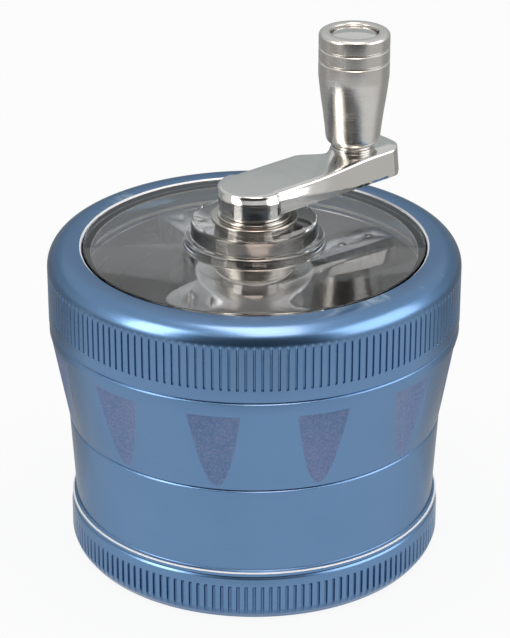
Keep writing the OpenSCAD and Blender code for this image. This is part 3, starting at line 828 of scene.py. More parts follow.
class Trees:
    """Geometry trees for everything that repeats, each built once."""

    drill_length = 0.006

    def __init__(self) -> None:
        """Builds the trees."""
        self.ring = self._ring()
        self.thread = self._thread()
        self.scoops = self._scoops()
        self.weave = self._weave()
        self.rotor = self._rotor()

    def _copies(self, make: NodeMaker, geometry: Any, count: Any, first: Any) -> bpy.types.NodeSocket:
        """Adds copies of a geometry around the vertical axis.

        Args:
            make: Node maker of the tree.
            geometry: The geometry that is repeated.
            count: Number of copies.
            first: Angle of the first copy, in radians.

        Returns:
            The instances.
        """
        points = make.add("GeometryNodePoints", {"Count": count})
        index = make.add("GeometryNodeInputIndex")
        step = make.math("DIVIDE", math.tau, count)
        turn = make.math("ADD", make.math("MULTIPLY", index.outputs[0], step), first)
        rotation = make.vector({2: turn})
        single = make.add("GeometryNodeGeometryToInstance", {0: geometry})
        copies = make.add("GeometryNodeInstanceOnPoints",
                          {"Points": points, "Instance": single, "Rotation": rotation})
        return copies.outputs[0]

    def _drill(self, make: NodeMaker, sides: int, radius: Any, reach: Any, height: Any) -> bpy.types.Node:
        """Adds an upright drill.

        Args:
            make: Node maker of the tree.
            sides: Facets around the drill.
            radius: Its radius.
            reach: Its distance from the vertical axis.
            height: Height of its middle.

        Returns:
            The node that puts the drill in its place.
        """
        drill = make.add("GeometryNodeMeshCylinder",
                         {"Vertices": sides, "Radius": radius, "Depth": self.drill_length})
        spot = make.vector({0: reach, 2: height})
        return make.add("GeometryNodeTransform", {"Geometry": drill.outputs["Mesh"], "Translation": spot})

    def _reach(self, make: NodeMaker, get: Any, row: int) -> bpy.types.NodeSocket:
        """Returns the radius of a row of holes from a tree's row inputs."""
        return make.math("ADD", get["Row Radius"], make.math("MULTIPLY", get["Row Pitch"], float(row)))

    def _ring(self) -> bpy.types.NodeTree:
        """Builds the tree that repeats a pitch or a tooth around the axis."""
        tree, make, source, sink = geometry_tree(
            "Ring of copies", [("Count", INTEGER, 12), ("First Angle", FLOAT, 0.0),
                               ("Merge Distance", FLOAT, 1e-6), ("Material", MATERIAL, None)])
        copies = self._copies(make, source.outputs["Geometry"], source.outputs["Count"],
                              source.outputs["First Angle"])
        real = make.add("GeometryNodeRealizeInstances", {"Geometry": copies})
        merged = make.add("GeometryNodeMergeByDistance",
                          {"Geometry": real, "Distance": source.outputs["Merge Distance"]})
        close_tree(make, sink, merged, source.outputs["Material"])
        return tree

    def _thread(self) -> bpy.types.NodeTree:
        """Builds the tree that cuts a screw thread into a turned wall."""
        tree, make, source, sink = geometry_tree(
            "Screw thread",
            [("Radius", FLOAT, 0.026), ("Low", FLOAT, 0.0), ("High", FLOAT, 0.004), ("Pitch", FLOAT, 0.0015),
             ("Depth", FLOAT, 0.0003), ("Material", MATERIAL, None)])
        wall_slack, lead = 2e-5, 3e-4
        get = source.outputs
        x, y, z = make.split(make.add("GeometryNodeInputPosition"))
        radius = make.radius(x, y)
        off = make.math("ABSOLUTE", make.math("SUBTRACT", radius, get["Radius"]))
        near = make.math("LESS_THAN", off, wall_slack)
        lead_in = make.math("DIVIDE", make.math("SUBTRACT", z, get["Low"]), lead, clamp=True)
        lead_out = make.math("DIVIDE", make.math("SUBTRACT", get["High"], z), lead, clamp=True)
        share = make.math("MULTIPLY", make.math("MULTIPLY", lead_in, lead_out), near)
        turn = make.math("DIVIDE", make.math("ARCTAN2", y, x), math.tau)
        phase = make.math("FRACT", make.math("SUBTRACT", make.math("DIVIDE", z, get["Pitch"]), turn))
        crest = make.math("ABSOLUTE", make.math("SUBTRACT", phase, 0.5))
        valley = make.math("SUBTRACT", 1.0, make.math("MULTIPLY", crest, 2.6), clamp=True)
        depth = make.math("MULTIPLY", make.math("MULTIPLY", valley, share), get["Depth"])
        scale = make.math("DIVIDE", make.math("MULTIPLY", depth, -1.0), make.math("MAXIMUM", radius, 1e-5))
        offset = make.vector({0: make.math("MULTIPLY", x, scale), 1: make.math("MULTIPLY", y, scale)})
        moved = make.add("GeometryNodeSetPosition", {"Geometry": get["Geometry"], "Offset": offset})
        close_tree(make, sink, moved, get["Material"])
        return tree

    def _scoops(self) -> bpy.types.NodeTree:
        """Builds the tree that cuts finger scoops and drain holes from the chamber."""
        tree, make, source, sink = geometry_tree(
            "Scoops and drain holes",
            [("Scoops", INTEGER, 12), ("First Scoop", FLOAT, 0.0), ("Scoop Radius", FLOAT, 0.008),
             ("Scoop Length", FLOAT, 0.016), ("Scoop Lean", FLOAT, 0.1),
             ("Scoop Place", VECTOR, (0.0, 0.0, 0.0)),
             ("Hole Radius", FLOAT, 0.0016), ("Hole Height", FLOAT, 0.024), ("Row Radius", FLOAT, 0.011),
             ("Row Pitch", FLOAT, 0.005), ("First Row", INTEGER, 12), ("Row Gain", INTEGER, 6),
             ("Inside Radius", FLOAT, 0.0262), ("Inside Height", FLOAT, 0.02), ("Outside", MATERIAL, None),
             ("Frosted", MATERIAL, None), ("Inside", MATERIAL, None)])
        get = source.outputs
        body = make.add("GeometryNodeSetMaterial", {"Geometry": get["Geometry"], "Material": get["Outside"]})
        cutter = make.add("GeometryNodeMeshCylinder", {"Vertices": 320, "Radius": get["Scoop Radius"],
                                                       "Depth": get["Scoop Length"]})
        lean = make.vector({1: get["Scoop Lean"]})
        set_cutter = make.add("GeometryNodeTransform", {"Geometry": cutter.outputs["Mesh"],
                                                        "Translation": get["Scoop Place"], "Rotation": lean})
        frosted = make.add("GeometryNodeSetMaterial", {"Geometry": set_cutter, "Material": get["Frosted"]})
        cutters = [self._copies(make, frosted, get["Scoops"], get["First Scoop"])]
        for row in range(ROW_COUNT):
            drill = self._drill(make, 32, get["Hole Radius"], self._reach(make, get, row), get["Hole Height"])
            bare = make.add("GeometryNodeSetMaterial", {"Geometry": drill, "Material": get["Inside"]})
            count = make.math("ADD", get["First Row"], make.math("MULTIPLY", get["Row Gain"], float(row)))
            cutters.append(self._copies(make, bare, count, 0.0))
        joined = make.add("GeometryNodeJoinGeometry")
        for part in cutters:
            make.feed(joined.inputs[0], part)
        real = make.add("GeometryNodeRealizeInstances", {"Geometry": joined})
        cut = make.add("GeometryNodeMeshBoolean", {"Mesh 1": body, "Mesh 2": real}, operation="DIFFERENCE",
                       solver="EXACT")
        x, y, z = make.split(make.add("GeometryNodeInputPosition"))
        inner = make.math("LESS_THAN", make.radius(x, y), get["Inside Radius"])
        above = make.math("GREATER_THAN", z, get["Inside Height"])
        close_tree(make, sink, cut.outputs["Mesh"], get["Inside"], make.math("MULTIPLY", inner, above))
        return tree

    def _weave(self) -> bpy.types.NodeTree:
        """Builds the tree of a plain-woven wire screen with a round outline."""
        tree, make, source, sink = geometry_tree(
            "Woven screen",
            [("Wires", INTEGER, 57), ("Pitch", FLOAT, 0.0009), ("Wire Radius", FLOAT, 6e-5),
             ("Screen Radius", FLOAT, 0.0255), ("Height", FLOAT, 0.0), ("Material", MATERIAL, None)])
        get = source.outputs
        gaps = make.math("SUBTRACT", get["Wires"], 1.0)
        span = make.math("MULTIPLY", gaps, get["Pitch"])
        nodes = make.math("ADD", make.math("MULTIPLY", gaps, 2.0), 1.0)
        grid = make.add("GeometryNodeMeshGrid", {"Size X": span, "Size Y": span, "Vertices X": nodes,
                                                 "Vertices Y": get["Wires"]})
        ends = make.add("GeometryNodeInputMeshEdgeVertices")
        apart = make.add("ShaderNodeVectorMath", {0: ends.outputs["Position 1"],
                                                  1: ends.outputs["Position 2"]}, operation="SUBTRACT")
        crosswise = make.math("GREATER_THAN", make.math("ABSOLUTE", make.split(apart)[1]), 1e-6)
        wires = make.add("GeometryNodeDeleteGeometry", {"Geometry": grid.outputs["Mesh"],
                                                        "Selection": crosswise},
                         domain="EDGE", mode="EDGE_FACE")
        spot = make.add("GeometryNodeInputPosition")
        length = make.add("ShaderNodeVectorMath", {0: spot}, operation="LENGTH").outputs["Value"]
        outside = make.math("GREATER_THAN", length, get["Screen Radius"])
        disc = make.add("GeometryNodeDeleteGeometry", {"Geometry": wires, "Selection": outside},
                        domain="POINT", mode="ALL")
        x, y, _ = make.split(spot)
        steps = make.math("DIVIDE", make.math("ADD", x, y), get["Pitch"])
        wave = make.math("COSINE", make.math("MULTIPLY", steps, math.pi))
        rise = make.vector({2: make.math("MULTIPLY", wave, get["Wire Radius"])})
        lifted = make.add("GeometryNodeSetPosition", {"Geometry": disc, "Offset": rise})
        line = make.add("GeometryNodeMeshToCurve", {"Mesh": lifted})
        circle = make.add("GeometryNodeCurvePrimitiveCircle", {"Resolution": 5, "Radius": get["Wire Radius"]})
        tube = make.add("GeometryNodeCurveToMesh", {"Curve": line, "Profile Curve": circle.outputs[0],
                                                    "Fill Caps": True})
        cross = make.add("GeometryNodeTransform", {"Geometry": tube, "Rotation": (math.pi, 0.0, math.pi / 2)})
        both = make.add("GeometryNodeJoinGeometry")
        make.feed(both.inputs[0], tube)
        make.feed(both.inputs[0], cross)
        raised = make.add("GeometryNodeTransform",
                          {"Geometry": both, "Translation": make.vector({2: get["Height"]})})
        close_tree(make, sink, raised, get["Material"])
        return tree

    def _rotor(self) -> bpy.types.NodeTree:
        """Builds the tree that adds the rotor's arms to its hub and drills them."""
        tree, make, source, sink = geometry_tree(
            "Rotor arms",
            [("Arms", INTEGER, 4), ("First Arm", FLOAT, 0.0), ("Arm Size", VECTOR, (0.0, 0.0, 0.0)),
             ("Arm Centre", VECTOR, (0.0, 0.0, 0.0)), ("Row Radius", FLOAT, 0.011),
             ("Row Pitch", FLOAT, 0.005), ("Root Radius", FLOAT, 6.5e-4), ("Material", MATERIAL, None)])
        get = source.outputs
        bar = make.add("GeometryNodeMeshCube", {"Size": get["Arm Size"]})
        moved = make.add("GeometryNodeTransform", {"Geometry": bar.outputs["Mesh"],
                                                   "Translation": get["Arm Centre"]})
        arms = make.add("GeometryNodeRealizeInstances",
                        {"Geometry": self._copies(make, moved, get["Arms"], get["First Arm"])})
        fused = make.add("GeometryNodeMeshBoolean", {"Mesh 2": get["Geometry"]}, operation="UNION",
                         solver="EXACT")
        make.feed(fused.inputs["Mesh 2"], arms)
        drills = make.add("GeometryNodeJoinGeometry")
        level = make.split(get["Arm Centre"])[2]
        for row in range(ROW_COUNT):
            drill = self._drill(make, 24, get["Root Radius"], self._reach(make, get, row), level)
            make.feed(drills.inputs[0], self._copies(make, drill, get["Arms"], get["First Arm"]))
        cutters = make.add("GeometryNodeRealizeInstances", {"Geometry": drills})
        cut = make.add("GeometryNodeMeshBoolean", {"Mesh 1": fused.outputs["Mesh"], "Mesh 2": cutters},
                       operation="DIFFERENCE", solver="EXACT")
        close_tree(make, sink, cut.outputs["Mesh"], get["Material"])
        return tree


@dataclass
class Knurl:
    """Straight grooves around a turned wall, as one pitch that repeats."""

    radius: float
    low: float
    high: float
    ribs: int
    depth: float
    share: float
    run_in: float
    run_out: float

    def columns(self) -> list[float]:
        """Returns the angles of one pitch's columns, with the groove in the middle."""
        groove, wall = (1.0 - self.share) / 2, 0.08
        pitch = math.tau / self.ribs
        return [pitch * f for f in (-0.5, -groove, wall - groove, 0.0, groove - wall, groove, 0.5)]

    def relief(self, angle: float, r: float, z: float) -> float:
        """Returns the groove's depth at an angle, radius and height."""
        if r < self.radius - KNURLED_WALL or not self.low - TINY <= z <= self.high + TINY:
            return 0.0
        groove = (1.0 - self.share) / 2
        across = abs(angle) / (math.tau / self.ribs)
        shape = 1.0 if across < groove - 0.04 else 0.0
        along = min(1.0, (z - self.low) / self.run_in, (self.high - z) / self.run_out)
        floor_r = self.radius - self.depth * (1.0 if across < TINY else 0.92)
        return shape * max(0.0, min(along * self.depth, r - floor_r))

    def dress(self, mesh: bpy.types.Mesh, material: bpy.types.Material) -> None:
        """Gives the grooves' faces a material of their own."""
        mesh.materials.append(material)
        for face in mesh.polygons:
            depth = self.radius - math.hypot(face.center.x, face.center.y) / MM
            if self.low < face.center.z / MM < self.high and 0.3 * self.depth < depth < KNURLED_WALL:
                face.material_index = len(mesh.materials) - 1


def cut_thread(obj: bpy.types.Object, trees: Trees, material: bpy.types.Material, radius: float,
               low: float, high: float) -> None:
    """Cuts the sections' common screw thread into a turned wall.

    Args:
        obj: The piece.
        trees: Shared geometry trees.
        material: Material of the piece.
        radius: Radius of the wall.
        low: Height where the thread starts.
        high: Height where it ends.
    """
    run_tree(obj, trees.thread, {"Radius": radius * MM, "Low": low * MM, "High": high * MM,
                                 "Pitch": THREAD_PITCH * MM, "Depth": THREAD_DEPTH * MM,
                                 "Material": material})


# ------------------------------------------------------------------ base section


@dataclass
class BaseSection:
    """Knurled cup at the foot, with a threaded collar that enters the storage ring."""

    outer: float = 29.1
    seam: float = 7.35
    collar_top: float = 11.95
    collar: float = 26.3
    cavity: float = 24.5
    floor: float = 1.8
    recess: float = 22.0
    recess_depth: float = 0.3

    def profile(self) -> list[Point]:
        """Returns the cup's closed profile."""
        o, s = self.outer, self.seam
        outline = rounded([
            (0.0, self.recess_depth, 0), (self.recess, self.recess_depth, 0.12), (self.recess, 0.0, 0.1),
            (o - 1.07, 0.0, 0.2), (o - 0.36, 1.0, 0.6), (o, 2.0, 0.8), (o, s - 1.3, 0.6),
            (o - 0.15, s - 0.3, 0.15), (o - 0.35, s, 0.05), (self.collar, s, 0.05),
            (self.collar, self.collar_top - 0.2, 0.05), (self.collar - 0.2, self.collar_top, 0.05),
            (self.cavity, self.collar_top, 0.12), (self.cavity, self.floor, 0.8), (0.0, self.floor, 0)])
        rows = refined(outline, 0.25, s + 0.05, self.collar_top - 0.25)
        knurl = self.knurl()
        return self.with_rows(rows, (knurl.low, knurl.low + 0.12, knurl.high - knurl.run_out, knurl.high))

    def knurl(self) -> Knurl:
        """Returns the cup's knurl."""
        return Knurl(self.outer, low=0.3, high=5.9, ribs=148, depth=0.35, share=0.58, run_in=0.1,
                     run_out=0.5)

    def with_rows(self, profile: list[Point], heights: Sequence[float]) -> list[Point]:
        """Adds points at given heights on the outer wall."""
        points: list[Point] = []
        for i, (r, z) in enumerate(profile):
            points.append((r, z))
            r2, z2 = profile[(i + 1) % len(profile)]
            if min(r, r2) > self.outer - KNURLED_WALL and z2 > z:
                inside = [h for h in heights if z + 0.02 < h < z2 - 0.02]
                points += [(r + (r2 - r) * (h - z) / (z2 - z), h) for h in inside]
        return points

    def build(self, trees: Trees, finishes: Finishes) -> None:
        """Builds the base cup."""
        knurl = self.knurl()
        mesh = lathe("base_cup_body", self.profile(), columns=knurl.columns(), relief=knurl.relief)
        cup = place("base_cup_body", mesh)
        run_tree(cup, trees.ring, {"Count": knurl.ribs, "Material": finishes.blue})
        cut_thread(cup, trees, finishes.blue, self.collar, self.seam + 0.3, self.collar_top - 0.4)
        # The groove faces take the darker blue: painted shade in the grooves.
        knurl.dress(cup.data, finishes.base_groove_shade)
        settle(cup, Body.BASE, ["base_cup"])


# --------------------------------------------------------------- storage section


@dataclass
class StorageSection:
    """Plain flared ring with a fine screen clamped on its ledge."""

    foot: float = 7.4
    top: float = 22.25
    foot_r: float = 28.95
    cut_r: float = 28.7
    wall_foot_r: float = 28.3
    wall_top_r: float = 29.05
    low_bore: float = 26.4
    high_bore: float = 26.45
    ledge: float = 12.25
    ledge_r: float = 24.0
    gasket: float = 13.05
    screen: float = 13.45
    clamp: float = 13.7
    clamp_top: float = 14.9
    seat_r: float = 25.6
    fit_r: float = 25.55
    seat_top: float = 18.0
    bead: float = 8.1
    cut: float = 8.215
    wall_foot: float = 8.4
    # Heights of the flare's bevel that is painted near-white as a highlight.
    painted_highlight_band: Point = (8.05, 8.3)
    gasket_bore: float = 24.1
    clamp_bore: float = 24.3
    wires: int = 57
    wire_pitch: float = 0.9
    wire_r: float = 0.0625
    screen_r: float = 25.5

    def build(self, trees: Trees, finishes: Finishes) -> None:
        """Builds the ring, gasket, screen and clamping ring."""
        profile = rounded([
            (self.low_bore, self.foot, 0.05), (self.foot_r - 0.2, self.foot, 0.05),
            (self.foot_r, self.foot + 0.2, 0.08), (self.foot_r, self.bead, 0.1),
            (self.cut_r, self.cut, 0), (self.wall_foot_r, self.wall_foot, 0.18),
            (self.wall_top_r, self.top - 0.2, 0.1), (self.wall_top_r - 0.2, self.top, 0.05),
            (self.high_bore, self.top, 0.08), (self.high_bore, self.seat_top, 0.05),
            (self.seat_r, self.seat_top, 0.05), (self.seat_r, self.gasket, 0.05),
            (self.ledge_r, self.gasket, 0.06), (self.ledge_r, self.ledge, 0.06),
            (self.low_bore, self.ledge, 0.05)])
        ring = place("storage_ring_body", lathe("storage_ring_body", profile, 320))
        ring.data.materials.append(finishes.blue)
        # The flare's bevel takes the near-white finish: a painted highlight.
        paint_band(ring.data, finishes.rim, self.cut_r, self.foot_r + 0.1, *self.painted_highlight_band)
        settle(ring, Body.STORAGE, ["storage_ring"])
        gasket = ring_section(self.gasket_bore, self.fit_r, self.gasket, self.screen, 0.1)
        turned_piece("screen_gasket_ring", gasket, 160, Body.STORAGE, "screen_gasket",
                     finishes.rubber)
        wires = place("woven_screen", bpy.data.meshes.new("woven_screen"))
        run_tree(wires, trees.weave, {
            "Wires": self.wires, "Pitch": self.wire_pitch * MM, "Wire Radius": self.wire_r * MM,
            "Screen Radius": self.screen_r * MM, "Height": (self.screen + 2 * self.wire_r) * MM,
            "Material": finishes.wire})
        settle(wires, Body.STORAGE, ["screen_mesh"])
        clamp = rounded([(self.clamp_bore, self.clamp, 0.05), (self.fit_r, self.clamp, 0.1),
                         (self.fit_r, self.clamp_top, 0.15), (self.clamp_bore + 0.5, self.clamp_top, 0.15),
                         (self.clamp_bore, self.clamp + 0.6, 0.1)])
        turned_piece("screen_clamp_ring", clamp, 192, Body.STORAGE, "screen_ring", finishes.bare)


# -------------------------------------------------------------- grinding section


@dataclass
class GrindingSection:
    """Tapered chamber with finger scoops, a drilled floor, fixed teeth and a post."""

    seam: float = 22.3
    top: float = 38.05
    foot_r: float = 29.05
    top_r: float = 31.7
    band: float = 36.45
    collar_r: float = 28.8
    collar_top: float = 42.05
    bore_r: float = 26.15
    floor: float = 25.9
    floor_foot: float = 22.9
    spigot_r: float = 26.35
    spigot_bore: float = 23.95
    spigot_foot: float = 18.3
    post_r: float = 5.5
    post_top: float = 30.0
    magnet_r: float = 4.05
    scoop_radius: float = 13.485
    scoop_end_r: float = 30.63
    scoop_end_z: float = 35.8
    scoop_lean: float = 6.42
    scoop_length: float = 17.0
    scoops: int = 12
    first_scoop: float = 19.0
    hole_r: float = 1.6
    tooth_top: float = 36.65
    slip_bore: float = 26.9
    slip_r: float = 28.7
    slip: float = 42.1
    slip_top: float = 42.7

    def profile(self) -> list[Point]:
        """Returns the chamber's closed profile."""
        outline = rounded([
            (0.0, self.floor_foot, 0), (self.spigot_bore, self.floor_foot, 0.2),
            (self.spigot_bore, self.spigot_foot, 0.08), (self.spigot_r - 0.2, self.spigot_foot, 0.05),
            (self.spigot_r, self.spigot_foot + 0.2, 0.05), (self.spigot_r, self.seam, 0.05),
            (self.foot_r - 0.2, self.seam, 0.04), (self.foot_r + 0.05, self.seam + 0.2, 0.06),
            (self.top_r - 0.1, self.band - 0.1, 0.05), (self.top_r, self.band + 0.1, 0.05),
            (self.top_r, self.top - 0.2, 0.08), (self.top_r - 0.2, self.top, 0.05),
            (self.collar_r, self.top, 0.05), (self.collar_r, self.collar_top - 0.2, 0.05),
            (self.collar_r - 0.2, self.collar_top, 0.05), (self.bore_r, self.collar_top, 0.12),
            (self.bore_r, self.floor, 0.35), (self.post_r, self.floor, 0.3),
            (self.post_r, self.post_top, 0.2), (self.magnet_r, self.post_top, 0.05),
            (self.magnet_r, self.post_top - 2.3, 0.05), (0.0, self.post_top - 2.3, 0)])
        outline = refined(outline, 0.3, self.spigot_foot + 0.3, self.seam)
        return refined(outline, 0.9, self.seam + 0.5, self.band - 0.2)

    def scoop_place(self) -> Spot:
        """Returns the middle of the first scoop's cutter before it is turned into place."""
        lean = math.radians(self.scoop_lean)
        x = self.scoop_end_r + self.scoop_radius * math.cos(lean) - self.scoop_length / 2 * math.sin(lean)
        z = self.scoop_end_z - self.scoop_radius * math.sin(lean) - self.scoop_length / 2 * math.cos(lean)
        return (x * MM, 0.0, z * MM)

    def build(self, trees: Trees, finishes: Finishes) -> None:
        """Builds the chamber, its fixed teeth, its magnet and the slip ring on its collar."""
        chamber = place("grinding_chamber_body", lathe("grinding_chamber_body", self.profile(), 256))
        cut_thread(chamber, trees, finishes.blue, self.spigot_r, self.spigot_foot + 0.4, self.seam - 0.3)
        run_tree(chamber, trees.scoops, {
            "Scoops": self.scoops, "First Scoop": math.radians(self.first_scoop),
            "Scoop Radius": self.scoop_radius * MM, "Scoop Length": self.scoop_length * MM,
            "Scoop Lean": math.radians(self.scoop_lean), "Scoop Place": self.scoop_place(),
            "Hole Radius": self.hole_r * MM,
            "Hole Height": (self.floor + self.floor_foot) / 2 * MM, "Row Radius": ROW_RADIUS * MM,
            "Row Pitch": ROW_PITCH * MM, "First Row": 12, "Row Gain": 6,
            "Inside Radius": (self.bore_r + 0.2) * MM, "Inside Height": (self.floor_foot + 0.2) * MM,
            "Outside": finishes.blue, "Frosted": finishes.frosted, "Inside": finishes.bare})
        settle(chamber, Body.CHAMBER, ["grinding_chamber"])
        self.build_teeth(trees, finishes)
        magnet = rounded([(0.0, 27.8, 0), (4.0, 27.8, 0.15), (4.0, self.post_top, 0.25),
                          (0.0, self.post_top, 0)])
        turned_piece("chamber_disc_magnet", magnet, 96, Body.CHAMBER, "chamber_magnet",
                     finishes.magnet)
        slip = ring_section(self.slip_bore, self.slip_r, self.slip, self.slip_top, 0.12)
        turned_piece("nylon_slip_ring", slip, 192, Body.SLIP_RING, "slip_ring", finishes.nylon)

    def build_teeth(self, trees: Trees, finishes: Finishes) -> None:
        """Builds the rows of fixed teeth between the rotor's rows."""
        parts: list[bpy.types.Mesh] = []
        for row in range(ROW_COUNT):
            mesh = diamond_tooth(ROW_RADIUS + (row + 0.5) * ROW_PITCH, self.floor, self.tooth_top)
            tooth = place(f"fixed_tooth_row_{row}", mesh)
            run_tree(tooth, trees.ring, {"Count": 6 + 2 * row, "First Angle": math.radians(15 * row),
                                         "Material": finishes.bare})
            parts.append(tooth.data)
            bpy.data.objects.remove(tooth)
        teeth = place("chamber_fixed_teeth", join_meshes("chamber_fixed_teeth", parts))
        settle(teeth, Body.CHAMBER, ["chamber_teeth"], [finishes.bare])


# --------------------------------------------------------------------------- lid


@dataclass
class Lid:
    """Knurled lid ring with a clear window, its seal and the crank's bearing."""

    outer: float = 31.75
    foot: float = 38.1
    top: float = 49.8
    shoulder: float = 3.0
    bore: float = 28.9
    shelf: float = 42.75
    inner: float = 26.9
    ledge: float = 45.1
    ledge_r: float = 24.9
    seal: float = 46.7
    seal_r: float = 26.1
    rim_r: float = 26.5
    rim_bevel: float = 0.25
    window_r: float = 26.2
    window_foot: float = 47.0
    boss_foot_r: float = 10.8
    boss_foot: float = 51.4
    boss_r: float = 9.7
    boss: float = 53.9
    bushing_r: float = 6.1
    bond: float = 0.03
    bushing_foot: float = 44.45
    flange_r: float = 6.6
    flange: float = 54.4
    bearing_r: float = 3.55
    washer_bore: float = 3.6
    upper_washer: float = 54.45
    upper_washer_r: float = 5.6
    lower_washer: float = 44.1
    lower_washer_r: float = 5.9

    def ring_profile(self) -> list[Point]:
        """Returns the lid ring's closed profile."""
        low = rounded([(self.bore, self.foot, 0.06), (self.outer - 0.2, self.foot, 0.06),
                       (self.outer, self.foot + 0.2, 0.08), (self.outer, self.top, 0)])[:-1]
        rows = [(self.outer, z) for z in (40.05, 40.1, 40.16, 40.6, 45.7, 46.2, 46.5)]
        shoulder = arc(self.outer - self.shoulder, self.top - self.shoulder, self.shoulder, 0, 90, 14)
        inside = rounded([(self.outer - self.shoulder, self.top, 0),
                          (self.rim_r + self.rim_bevel, self.top, 0.02),
                          (self.rim_r, self.top - self.rim_bevel, 0.02), (self.rim_r, self.seal, 0.05),
                          (self.ledge_r, self.seal, 0.06), (self.ledge_r, self.ledge, 0.12),
                          (self.inner, self.ledge, 0.1), (self.inner, self.shelf, 0.06),
                          (self.bore, self.shelf, 0.06), (self.bore, self.foot, 0)])[1:-1]
        return low + rows + shoulder + inside

    def build_ring(self, trees: Trees, finishes: Finishes) -> None:
        """Builds the knurled ring and its rim, which is painted near-white as a highlight line."""
        knurl = Knurl(self.outer, low=40.1, high=46.95, ribs=164, depth=0.3, share=0.68, run_in=0.05,
                      run_out=0.7)
        mesh = lathe("lid_ring_body", self.ring_profile(), columns=knurl.columns(), relief=knurl.relief)
        ring = place("lid_ring_body", mesh)
        run_tree(ring, trees.ring, {"Count": knurl.ribs, "Material": finishes.blue})
        # The cut window bevel is bare metal painted near-white as a highlight line all round: partly real,
        # partly painted highlight.
        paint_band(ring.data, finishes.rim, self.rim_r, self.rim_r + self.rim_bevel, self.top - 0.3, self.top)
        knurl.dress(ring.data, finishes.lid_groove)
        settle(ring, Body.LID, ["lid_ring"])

    def build_window(self, finishes: Finishes) -> None:
        """Builds the clear window with its stepped boss, and its seal."""
        profile = rounded([
            (self.bushing_r - self.bond, self.window_foot, 0.05), (self.window_r, self.window_foot, 0.1),
            (self.window_r, self.top, 0.2), (self.boss_foot_r, self.top, 0.25),
            (self.boss_foot_r, self.boss_foot, 0.45), (self.boss_r, self.boss_foot, 0.2),
            (self.boss_r, self.boss, 0.5), (self.bushing_r - self.bond, self.boss, 0.02)], 7)
        turned_piece("clear_window", profile, 288, Body.LID, "window", finishes.clear, sharp=50.0)
        seal = ring_section(self.ledge_r, self.seal_r, self.seal, self.window_foot, 0.08)
        turned_piece("window_seal_ring", seal, 192, Body.LID, "window_seal", finishes.silicone)

    def build_bearing(self, finishes: Finishes) -> None:
        """Builds the bushing and the two washers."""
        bushing = rounded([
            (self.bearing_r, self.bushing_foot, 0.2), (self.bushing_r, self.bushing_foot, 0.25),
            (self.bushing_r, self.boss, 0.02), (self.flange_r, self.boss, 0.08),
            (self.flange_r, self.flange, 0.15), (self.bearing_r, self.flange, 0.15)])
        turned_piece("shaft_bushing_sleeve", bushing, 192, Body.LID, "shaft_bushing",
                     finishes.bearing)
        upper = ring_section(self.washer_bore, self.upper_washer_r, self.upper_washer,
                             self.upper_washer + 0.35, 0.05, 0.08)
        turned_piece("steel_spacer_washer", upper, 160, Body.LID, "upper_washer", finishes.steel)
        lower = ring_section(self.washer_bore, self.lower_washer_r, self.lower_washer,
                             self.lower_washer + 0.3, 0.05, 0.08)
        turned_piece("nylon_thrust_washer", lower, 160, Body.LID, "lower_washer", finishes.nylon)

    def build(self, trees: Trees, finishes: Finishes) -> None:
        """Builds the whole lid."""
        self.build_ring(trees, finishes)
        self.build_window(finishes)
        self.build_bearing(finishes)


# ------------------------------------------------------------------------- crank


